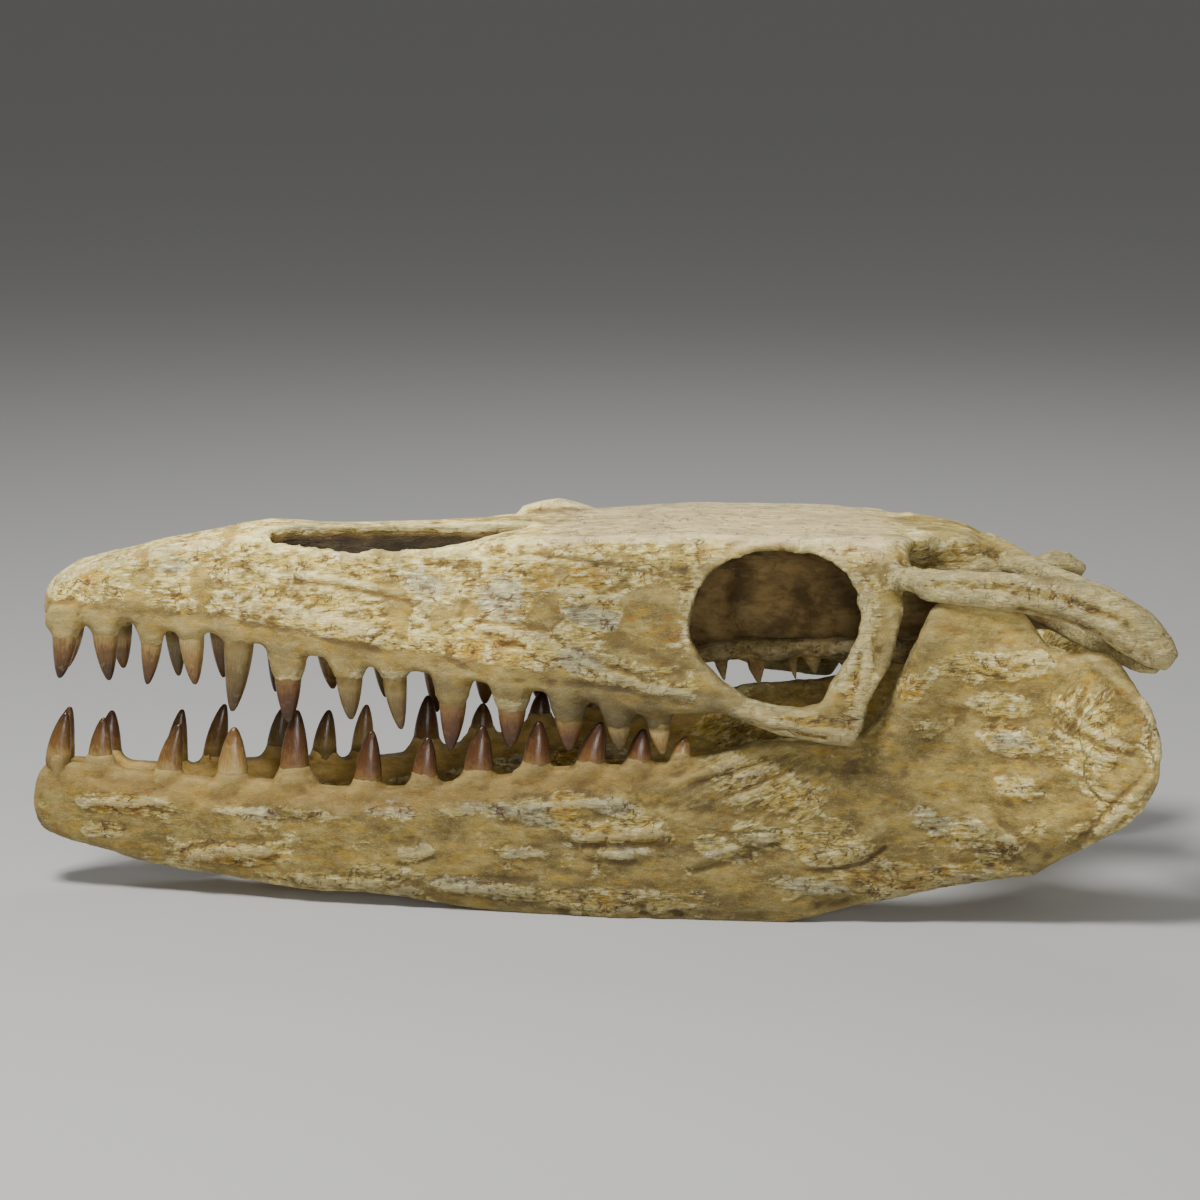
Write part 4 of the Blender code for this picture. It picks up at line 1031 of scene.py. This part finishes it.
def lay_finishes(made, guide, ovals, base):
    """Spread the ovals over a bone and return its bone, grey and ochre values."""
    here = points_of(made)
    bone, grey, ochre = np.full(len(here), base), np.full(len(here), 0.25), np.full(len(here), 0.2)
    for right, down, long, tall, tilt, kind, its_grey, its_ochre in ovals:
        found = seen_on(guide, [(right, down)])
        if not found:
            continue
        across, up = (here[:, 0] - found[0].x) / MM, (here[:, 2] - found[0].z) / MM
        c, s = math.cos(math.radians(tilt)), math.sin(math.radians(tilt))
        reach = np.hypot((across * c - up * s) / (long * PIXEL), (across * s + up * c) / (tall * PIXEL))
        weight = ramp(1.7 - reach, 0, 1.2)
        bone += (kind * 0.26 - bone) * weight
        grey += (its_grey - grey) * weight
        ochre += (its_ochre - ochre) * weight
    return bone, grey, ochre


def turned(here, middle, angle):
    """Coordinates along and across fibres that run at an angle through a middle."""
    c, s = math.cos(math.radians(angle)), math.sin(math.radians(angle))
    across, up = here[:, 0] - middle.x, here[:, 2] - middle.z
    return np.stack([across * c + up * s, here[:, 1], up * c - across * s], axis=1)


print("finishes can be kept")

# %% [markdown]
# The cranium's fibres run level along the snout. On the lower jaw they climb with the coronoid
# ridge under the cheek, and fan out on the plate at the back. Inside the skull and the orbits
# the bone is darkened to brown by painted shade, and the roof is smooth and pinkish grey.

# %% Lay the finishes on the cranium
# Painted shade lines where shadow falls along the nostril's near rim, a snout groove, under the far hump and
# under the temporal bar: reach, strength and pixels.
PAINTED_SHADE_LINES = ((3.0, 1.0, ((326, 545), (360, 549), (400, 550), (432, 546), (452, 540))),
              (2.4, 0.7, ((297, 581), (330, 584), (365, 592), (396, 599))),
              (3.0, 0.8, ((540, 514), (556, 512), (570, 515))),
              (3.0, 0.3, ((935, 583), (1000, 585), (1060, 597), (1115, 617))),
              (3.0, 0.6, ((1000, 604), (1060, 619), (1100, 634), (1150, 655))))
RUSTY_SEAMS = ((4.0, 1.0, ((330, 538), (360, 541), (400, 541), (440, 536))),
               (3.0, 0.8, ((590, 577), (575, 580))), (5.0, 0.7, ((1060, 590), (1110, 605))))


def stained(made, values, seams):
    """Raise a finish along paths read off the photograph: reach, strength and pixels."""
    here = points_of(made)
    for reach, strength, pixels in seams:
        path = seen_on(made, pixels)
        for each in (path, across_midline(path)) if made is cranium else (path,):
            mark = strength * np.exp(-(near_path(here, each) / reach) ** 2)
            values = np.maximum(values, mark)
    return values


def outer_side(here):
    """Half-width of the head's outside at every point's station and height."""
    station = here[:, 0] / MM + LENGTH / 2 - MIDDLE_SHIFT[0]
    height = here[:, 2] / MM
    column = lambda table: np.interp(station, *np.array(table).T[:2])
    top = column(DORSAL_LINE) - column(SHOULDER_DROP)
    part = np.clip((height - column(GUM_LINE)) / np.maximum(top - column(GUM_LINE), 1), 0, 1)
    return station, height, column(CHEEK_WIDTH) * (1 - part) + column(SHOULDER_WIDTH) * part


def finish_cranium(made):
    """Keep the cranium's finishes on its points."""
    here, normal = points_of(made), points_of(made, "normal")
    bone, grey, ochre = lay_finishes(made, made, CRANIUM_OVALS, 0.05)
    station, height, side = outer_side(here)
    depth = side - abs(here[:, 1] / MM - MIDDLE_SHIFT[1])
    # Painted shade: bone deep inside the head behind the snout, below the roof and on faces that look down is
    # darkened towards brown, with less of it at the temples and at the back.
    painted_shade_and_cracks = ramp(depth, 10, 24) * ramp(262 - height, 0, 8) * ramp(station, 440, 470)
    painted_shade_and_cracks = np.maximum(painted_shade_and_cracks, ramp(-normal[:, 2], 0.3, 0.8) * ramp(depth, 8, 16) * 0.8)
    painted_shade_and_cracks *= 1 - ramp(station, 612, 630) * ramp(height, 214, 226)
    painted_shade_and_cracks *= 1 - ramp(station, 690, 710) * ramp(side - depth, 50, 70)
    roof = ramp(normal[:, 2], 0.35, 0.75) * ramp(height, 250, 262) * ramp(station, 340, 420)
    roof *= 1 - ramp(station, 600, 640)
    gum = ramp(np.interp(station, *np.array(GUM_LINE).T) + 17 - height, -3, 3) * ramp(520 - station, 0, 30)
    bone += 0.12 * ramp(420 - station, 0, 80) + 0.2 * ramp(station, 640, 680) + 0.2 * roof
    bone -= 0.2 * gum + 0.2 * painted_shade_and_cracks
    jugal = ramp(station, 480, 520) * ramp(168 - height, 0, 16)
    socket = ramp(np.interp(station, *np.array(GUM_LINE).T) + 4 - height, 0, 8) * ramp(station, 180, 300)
    # Tone and painted light: the snout paler and the jugal darker in tone, painted shade on the gum strip and
    # on the tooth sockets under the cheek, painted light on the tops.
    tone_and_painted_light = 0.69 + 0.60 * ramp(410 - station, 0, 90) - 0.10 * jugal + 0.12 * painted_shade_and_cracks
    tone_and_painted_light *= (1 - 0.36 * gum) * (1 - 0.3 * socket)
    tone_and_painted_light += 0.52 * ramp(height, 250, 262)
    middle, half = (np.interp(station, *np.array(NARIS).T[[0, column]]) for column in (1, 2))
    fall = np.interp(station, *np.array(DORSAL_LINE).T) - height
    within = middle + half - abs(here[:, 1] / MM - MIDDLE_SHIFT[1])
    around = ramp(station, 172, 190) * ramp(368 - station, 0, 10)
    pit = ramp(fall, 6, 11) * ramp(within, -1, 2) * around
    brim = ramp(within, -9, -4) * around * ramp(14 - fall, 0, 4)
    # Painted shade in the nostril pit and on the bar's shaded side beside it: less bone, darker colour and
    # brown.
    bone -= 0.3 * pit
    tone_and_painted_light *= (1 - 0.75 * pit * ramp(fall, 7, 12)) * (1 - 0.45 * ramp(within, -3, 0) * around * ramp(fall, 0, 3))
    painted_shade_and_cracks = np.maximum(stained(made, painted_shade_and_cracks, PAINTED_SHADE_LINES), 0.9 * pit)
    ochre = np.maximum(stained(made, ochre, RUSTY_SEAMS), pit)
    for name, values in (("rest", here), ("lay", here), ("bone", bone), ("grey", grey),
                         ("ochre", ochre), ("painted_shade_and_cracks", painted_shade_and_cracks), ("roof", roof), ("gum", gum * 0.3),
                         ("rough", (1 - 0.55 * roof - 0.2 * gum) * (1 - 0.9 * brim)),
                         ("tone_and_painted_light", tone_and_painted_light)):
        keep(made, name, values)


finish_cranium(cranium)
print("cranium finishes kept")

# %% Lay the finishes on the jaws and the pterygoids
# Dark lines along the jaw, partly real cracks and partly painted shadow below ridges and in grooves: reach,
# strength and pixels.
JAW_SHADE_AND_CRACKS = ((1.7, 0.8, ((795, 866), (824, 870), (846, 867), (869, 860), (885, 848))),
             (1.3, 0.6, ((1152, 770), (1134, 786), (1106, 812), (1076, 850))),
             (1.5, 0.4, ((1000, 822), (1028, 842), (1048, 856))),
             (1.0, 0.4, ((1062, 722), (1095, 744), (1130, 756))),
             (1.6, 0.7, ((563, 795), (567, 806), (562, 818))),
             (1.6, 0.5, ((712, 802), (750, 788), (790, 770))))
CORONOID_MIDDLE, CORONOID_TILT = (735, 785), 22
FAN_MIDDLE, FAN_TILTS = (1055, 765), ((1085, 705, 60), (1115, 735, 25), (1120, 770, -10))


def finish_jaw(made, side):
    """Keep a jaw's finishes on its points."""
    here, normal = points_of(made), points_of(made, "normal")
    guide = jaws[LEFT]
    bone, grey, ochre = lay_finishes(made, guide, JAW_OVALS, -0.16)
    station = here[:, 0] / MM + LENGTH / 2 - MIDDLE_SHIFT[0]
    height = here[:, 2] / MM
    top = np.interp(station, *np.array(JAW_TOP).T)
    gum = ramp(height, top - 21, top - 13) * ramp(505 - station, 0, 40)
    inner = ramp(-normal[:, 1] * side, 0.1, 0.6)
    rim = ramp(32 - height + np.interp(station, *np.array(JAW_BOTTOM).T), 0, 12)
    bone += 0.10 * rim - 0.4 * gum
    lay = here.copy()
    middle = seen_on(guide, [CORONOID_MIDDLE])[0]
    reach = np.hypot((here[:, 0] - middle.x) / 0.060, (here[:, 2] - middle.z) / 0.028)
    lay[reach < 1.2] = turned(here, middle, CORONOID_TILT)[reach < 1.2]
    for right, down, tilt in FAN_TILTS:
        middle = seen_on(guide, [(right, down)])[0]
        near = np.hypot(here[:, 0] - middle.x, here[:, 2] - middle.z) < 0.024
        lay[near] = turned(here, middle, tilt)[near]
    plate_part = ramp(station, 640, 690) * ramp(height, 60, 90)
    # Tone and painted light: the plate and the back paler, painted shade along the lower rim, painted light
    # on the inner face, which lies in shade in the mouth.
    tone_and_painted_light = 0.66 + 0.40 * plate_part + 0.14 * ramp(station, 715, 745) - 0.14 * rim * (1 - plate_part)
    tone_and_painted_light += 0.7 * inner + 0.14 * ramp(300 - station, 0, 120)
    # Painted shade browns the inner face a little, and the near jaw along its dark grooves and cracks.
    painted_shade_and_cracks = stained(made, inner * 0.15, JAW_SHADE_AND_CRACKS) if side == LEFT else inner * 0.15
    for name, values in (("rest", here), ("lay", lay), ("bone", bone), ("grey", grey),
                         ("ochre", ochre), ("painted_shade_and_cracks", painted_shade_and_cracks), ("roof", gum * 0),
                         ("gum", gum), ("rough", 1 - 0.3 * gum), ("tone_and_painted_light", tone_and_painted_light)):
        keep(made, name, values)


def finish_pterygoid(made):
    """Keep a pterygoid's finishes: bone darkened to brown all over by painted shade."""
    here = points_of(made)
    one = np.ones(len(here))
    foot = (PTERYGOID_TOOTH_FOOT - here[:, 2] / MM)
    for name, values in (("rest", here), ("lay", here), ("bone", one * 0.05), ("grey", one * 0.2),
                         ("ochre", ramp(foot, 4, 14)), ("painted_shade_and_cracks", one * 0.7), ("roof", one * 0),
                         ("gum", one * 0), ("rough", 1 - ramp(foot, 6, 12)), ("tone_and_painted_light", one * 0.6)):
        keep(made, name, values)


for side, jaw in jaws.items():
    finish_jaw(jaw, side)
for each in pterygoids.values():
    finish_pterygoid(each)
print("jaw and pterygoid finishes kept")

# %% Push the relief into every bone, and find its edges and hollows
def hollow_or_edge_of(made):
    """How far each point stands above or below its smoothed surroundings."""
    here, normal = points_of(made), points_of(made, "normal")
    edges = np.empty(len(made.data.edges) * 2, dtype=np.int64)
    made.data.edges.foreach_get("vertices", edges)
    first, second = edges.reshape(-1, 2).T
    count = np.bincount(edges, minlength=len(here))[:, None]
    smooth, total = here.copy(), np.zeros(len(here))
    for turn in range(16):
        pulled = np.zeros_like(smooth)
        for axis in range(3):
            pulled[:, axis] = (np.bincount(first, smooth[second, axis], len(here))
                               + np.bincount(second, smooth[first, axis], len(here)))
        smooth = pulled / np.maximum(count, 1)
        if turn in (2, 15):
            total += ((here - smooth) * normal).sum(axis=1) / MM * (1.6 if turn == 2 else 0.5)
    return np.clip(total, -1, 1)


def weather(made, mound, lump, proud):
    """Apply the relief, keep the bone above the ground and store how far each point stands out or sinks."""
    made.modifiers.new("relief", "NODES").node_group = relief_tree(made.name, mound, lump, proud)
    finish_modifiers(made)
    here = points_of(made)
    here[:, 2] = np.maximum(here[:, 2], 0.0)
    set_points(made, here)
    keep(made, "hollow_or_edge", hollow_or_edge_of(made))
    made.data.shade_smooth()


weather(cranium, 4.0, 1.2, 0.35)
for jaw in jaws.values():
    weather(jaw, 7.0, 2.8, 0.5)
for each in pterygoids.values():
    weather(each, 4.0, 3.4, 0.6)
print("relief pressed into", 1 + len(jaws) + len(pterygoids), "bones")

# %% [markdown]
# ## Finishes
# The filler is a sandy tan with fine grit. Bone patches are cream, blue-grey or ochre, each
# chip a little different, with brown cracks and stains. Hollows are darker and raised edges
# paler. Painted shade browns the inside of the skull and its shaded faces, and painted light
# and shade lighten or darken whole regions. Only what a viewer's eye would read as texture
# goes into the bump.

# %% Colours as eyes and cameras give them
def tone(red, green, blue):
    """A colour of 0 to 255 as the shader's linear light."""
    def linear(value):
        value /= 255
        return value / 12.92 if value <= 0.04045 else ((value + 0.055) / 1.055) ** 2.4
    return (linear(red), linear(green), linear(blue), 1)


FILLER, FILLER_DEEP, GRIT = tone(170, 148, 80), tone(130, 110, 54), tone(198, 178, 108)
OLIVE_BONE, CREAM, WHITE = tone(156, 134, 62), tone(206, 184, 96), tone(250, 238, 180)
GREY, OCHRE, RUST = tone(168, 166, 138), tone(192, 152, 36), tone(150, 104, 32)
ROOF, GUM = tone(222, 200, 154), tone(172, 134, 60)
BROWN, CRACK, SHADE_TAN = tone(96, 72, 34), tone(92, 50, 26), tone(150, 122, 74)
print("filler is", [round(value, 3) for value in FILLER[:3]])


# %% The finish of bone and filler
def bone_finish(name):
    """A material for a bone: filler, chips, cracks, stains, darker hollows, paler edges, painted shade and
    painted light.
    """
    made = bpy.data.materials.new(name)
    made.use_nodes = True
    shader = made.node_tree.nodes["Principled BSDF"]
    wire = Wire(made.node_tree)
    got = bone_pattern(wire)
    rest, patch = got["rest"], got["patch"]
    hollow_or_edge, ochre = wire.read("hollow_or_edge"), wire.read("ochre")
    grit = rest.noise(1.1, 3, 0.7)
    cloud = rest.stretch(0.6, 1, 1).noise(20, 5, 0.6)
    mottle = got["lay"].stretch(0.4, 1, 1).noise(4.5, 6, 0.72)
    fleck = got["lay"].stretch(0.35, 1, 1).noise(3.6, 5, 0.68)
    chance = chip_value(wire, got["chip"])
    second = wire.node("ShaderNodeSeparateXYZ", {}, {0: got["chip"]}, 1)
    filler = (cloud + (mottle - 0.5) * 0.5).rise(0.36, 0.62).blend(FILLER_DEEP, FILLER)
    filler = (grit.rise(0.48, 0.70) * 0.55).blend(filler, GRIT)
    vein = got["lay"].stretch(0.4, 1, 1).noise(8, 6, 0.72)
    bone = (mottle + (chance - 0.5) * 0.14 + (cloud - 0.5) * 0.6).rise(0.39, 0.55).blend(OLIVE_BONE, CREAM)
    bone = ((mottle + (second - 0.5) * 0.16).rise(0.56, 0.70) * 0.6).blend(bone, WHITE)
    grey = (wire.read("grey") + (second - 0.5) * 0.4 + (cloud - 0.5)).rise(0.35, 0.75)
    bone = (grey * 0.7).blend(bone, GREY)
    warm = (ochre + (cloud - 0.5) * 1.4 + (chance - 0.5) * 0.3).rise(0.30, 0.85)
    bone = (warm * 0.8).blend(bone, OCHRE)
    surface = patch.blend(filler, bone)
    surface = ((vein + ochre * 0.06).rise(0.52, 0.63) * 0.55).blend(surface, OCHRE)
    surface = (fleck.rise(0.53, 0.63) * (patch * 0.65 + 0.15)).blend(surface, WHITE)
    surface = ((1 - fleck.rise(0.37, 0.47)) * (patch * 0.4 + 0.35)).blend(surface, BROWN)
    surface = (got["fibre"].rise(0.50, 0.68) * (patch * 0.5 + 0.12)).blend(surface, BROWN)
    surface = (wire.read("roof") * (0.9 - vein * 0.6)).blend(surface, ROOF)
    surface = (wire.read("gum") * 0.45).blend(surface, GUM)
    stain = rest.stretch(0.5, 1, 1).noise(11, 6, 0.72)
    surface = ((stain + ochre * 0.10).rise(0.57, 0.72) * 0.65).blend(surface, RUST)
    surface = (got["crack"] * 0.8).blend(surface, CRACK)
    # Hollows turn brown and raised edges pale, by how far each point stands in or out.
    surface = ((0 - hollow_or_edge).rise(0.08, 0.8) * 0.65).blend(surface, BROWN)
    surface = (hollow_or_edge.rise(0.15, 0.9) * (patch * 0.25 + 0.1)).blend(surface, WHITE)
    # Painted shade: where the shade value is high the colour turns brown and tan, as if in shadow.
    shade_colour = (cloud + (mottle - 0.5) * 0.6).rise(0.36, 0.66).blend(BROWN, SHADE_TAN)
    surface = (wire.read("painted_shade_and_cracks") * 0.85).blend(surface, shade_colour)
    # Painted light and shade: each region is lightened or darkened by its stored value, times a soft cloud of
    # tone.
    surface = surface.dimmed(wire.read("tone_and_painted_light") * (0.62 + cloud * 0.8))
    rough = 0.76 - patch * 0.14 - wire.read("gum") * 0.2
    height = (patch * 0.2 + (chance - 0.5) * patch * 0.2 + (grit - 0.5) * 0.9
              + (got["fibre"] - 0.5) * (patch + 0.2) * 1.1 + (mottle - 0.5) * (patch + 0.5) * 1.0
              - got["crack"] * 0.5) * MM
    bump = wire.node("ShaderNodeBump", {}, {"Height": height, "Distance": 1.0, "Strength": 1.0})
    for key, value in (("Base Color", surface), ("Roughness", rough), ("Normal", bump)):
        made.node_tree.links.new(value.socket, shader.inputs[key])
    return made


for made in (cranium, *jaws.values(), *pterygoids.values()):
    made.data.materials.clear()
    made.data.materials.append(bone_finish(f"{made.name}_bone"))
print("bone finishes:", [made.data.materials[0].name for made in (cranium, *jaws.values())])

# %% [markdown]
# ## Teeth
# Each tooth is a stout root that grows out of the jaw and a pointed crown that leans back a
# little. The root is pale bone, and the crown is glossy enamel that darkens from amber to brown
# at its tip. Rings are pulled up one by one from a circle, then a subdivision rounds them.

# %% Model one tooth
TOOTH_RING = 12
ROOT_LENGTH = 8.0
TOOTH_RINGS = ((-1.0, 0.9), (0.0, 1.03), (0.16, 1.0), (0.32, 0.93), (0.48, 0.83), (0.62, 0.71),
               (0.75, 0.57), (0.86, 0.41), (0.94, 0.26), (0.985, 0.12))


def make_tooth(name, row, upper, side, bony, chance):
    """One tooth of a row, which keeps how far each point is past the edge of its enamel."""
    station, height, half, tip_station, tip_height = row
    rise = tip_height - height
    out, twist = row_place(station, upper), chance.uniform(0, math.pi)
    bm = bmesh.new()
    turn, enamel = bm.verts.layers.int.new("turn"), bm.verts.layers.float.new("enamel")
    ring = bmesh.ops.create_circle(bm, cap_ends=True, segments=TOOTH_RING, radius=1.0)["verts"]
    for index, vert in enumerate(ring):
        vert[turn] = index
    cap = bm.faces[:][0]
    for number, (step, width) in enumerate(TOOTH_RINGS):
        if number:
            grown = bmesh.ops.extrude_face_region(bm, geom=[cap])
            if number > 1:
                bmesh.ops.delete(bm, geom=[cap], context="FACES_ONLY")
            cap = next(part for part in grown["geom"] if isinstance(part, bmesh.types.BMFace))
        lean = (tip_station - station) * max(step, 0) ** 1.6
        up = height + (rise * step if step > 0 else math.copysign(ROOT_LENGTH, rise) * step)
        for vert in cap.verts:
            angle = 2 * math.pi * vert[turn] / TOOTH_RING
            fold = 1 + 0.03 * math.cos(5 * angle + twist) if step > 0 else 1
            bulge = half * width * fold
            vert.co = place(station + lean + bulge * math.cos(angle),
                            side * (out + bulge * math.sin(angle) * TOOTH_FLATNESS), up)
            vert[enamel] = step - bony
    bmesh.ops.recalc_face_normals(bm, faces=bm.faces)
    made = add_object(name, bm)
    round_it = made.modifiers.new("round", "SUBSURF")
    round_it.levels = round_it.render_levels = 2
    finish_modifiers(made)
    keep(made, "rest", points_of(made))
    made.data.shade_smooth()
    return made


print("tooth rings:", len(TOOTH_RINGS))

# %% Tooth finishes
AMBER = (tone(154, 126, 72), tone(106, 76, 38), tone(58, 36, 20))
RED = (tone(119, 86, 45), tone(85, 54, 29), tone(58, 35, 20))
OLIVE = (tone(136, 118, 70), tone(104, 86, 48), tone(70, 50, 30))
PALE = (tone(178, 154, 98), tone(144, 112, 62), tone(96, 64, 36))
ROOT_DEEP, ROOT = tone(104, 84, 40), tone(138, 116, 60)


def tooth_finish(name, colours):
    """Bony root, then glossy enamel that darkens towards the tip, with fine long streaks."""
    light, middle, dark = colours
    made = bpy.data.materials.new(name)
    made.use_nodes = True
    shader = made.node_tree.nodes["Principled BSDF"]
    wire = Wire(made.node_tree)
    rest = wire.read("rest", True)
    cloud = rest.noise(7, 3, 0.6)
    streak = rest.stretch(1, 1, 0.10).noise(1.1, 2, 0.6)
    edge = wire.read("enamel") + (cloud - 0.5) * 0.16
    crown = edge.rise(-0.06, 0.13)
    root = rest.noise(6, 6, 0.7).rise(0.34, 0.68).blend(ROOT_DEEP, ROOT)
    shade = edge + (streak - 0.5) * 0.55 + (cloud - 0.5) * 0.3
    enamel = shade.rise(0.0, 0.40).blend(light, middle)
    enamel = shade.rise(0.35, 0.95).blend(enamel, dark)
    enamel = (rest.noise(5, 2, 0.5).rise(0.58, 0.68) * 0.3).blend(enamel, light)
    surface = crown.blend(root, enamel)
    line = crown * (1 - edge.rise(0.03, 0.08))
    surface = (line * 0.35).blend(surface, BROWN)
    rough = 0.68 - crown * 0.42
    height = ((streak - 0.5) * 0.22 + crown * 0.25 + (rest.noise(1.5, 3, 0.6) - 0.5) * (1 - crown) * 0.6) * MM
    bump = wire.node("ShaderNodeBump", {}, {"Height": height, "Distance": 1.0, "Strength": 0.8})
    for key, value in (("Base Color", surface), ("Roughness", rough), ("Normal", bump)):
        made.node_tree.links.new(value.socket, shader.inputs[key])
    return made


TOOTH_FINISHES = {name: tooth_finish(f"tooth_{name}", colours) for name, colours in
                  (("amber", AMBER), ("red", RED), ("olive", OLIVE), ("pale", PALE))}
print("tooth finishes:", list(TOOTH_FINISHES))

# %% Set every tooth
# Each row: its table, is it upper, its side, the share of bony root and each tooth's finish.
ROWS = {
    "upper_tooth_left": (UPPER_TEETH, True, LEFT,
                         (0.0, 0.03, 0.1, 0.06, 0.1, 0.12, 0.25, 0.25, 0.14, 0.15, 0.28, 0.25, 0.25),
                         "amber amber amber pale olive red olive olive red red red olive pale"),
    "upper_tooth_right": (UPPER_TEETH_RIGHT, True, RIGHT, (0.3,) * 13,
                          "amber amber olive amber red amber olive red amber red olive amber olive"),
    "lower_tooth_left": (LOWER_TEETH, False, LEFT, (0.08,) * 12,
                         "amber amber amber pale red red red red red red red pale"),
    "lower_tooth_right": (LOWER_TEETH_RIGHT, False, RIGHT, (0.15,) * 13,
                          "amber red amber amber olive amber pale red amber red amber red pale")}
chance = random.Random(7)
teeth = {}
for name, (table, upper, side, bony, finishes) in ROWS.items():
    for number, (row, share, finish) in enumerate(zip(table, bony, finishes.split()), 1):
        node = f"{name}_{number:02d}"
        made = make_tooth(f"skull_{node}", row, upper, side, share, chance)
        made.data.materials.append(TOOTH_FINISHES[finish])
        teeth[node] = made
print("teeth:", len(teeth), "with", len(next(iter(teeth.values())).data.polygons), "faces each")

# %% [markdown]
# ## Hand the pieces to the imported model
# Every fine piece stands for one imported node and rides on the one rigid body.

# %% Tie each piece to its node
PIECES = {"cranium": (cranium, "fossil_bone"), "lower_jaw_left": (jaws[LEFT], "fossil_bone"),
          "lower_jaw_right": (jaws[RIGHT], "fossil_bone"),
          "pterygoid_left": (pterygoids[LEFT], "palate_bone"),
          "pterygoid_right": (pterygoids[RIGHT], "palate_bone")}
PIECES.update({node: (made, "tooth_enamel") for node, made in teeth.items()})
for node, (made, finish) in PIECES.items():
    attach(made, "root")
    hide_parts(node)
missing = sorted(set(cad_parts) - set(PIECES))
print("pieces:", len(PIECES), "nodes without one:", missing)

# %% Count the triangles
bpy.context.view_layer.update()
triangles = 0
for made, _ in PIECES.values():
    made.data.calc_loop_triangles()
    triangles += len(made.data.loop_triangles)
print("triangles:", triangles, "cranium:", len(cranium.data.loop_triangles))
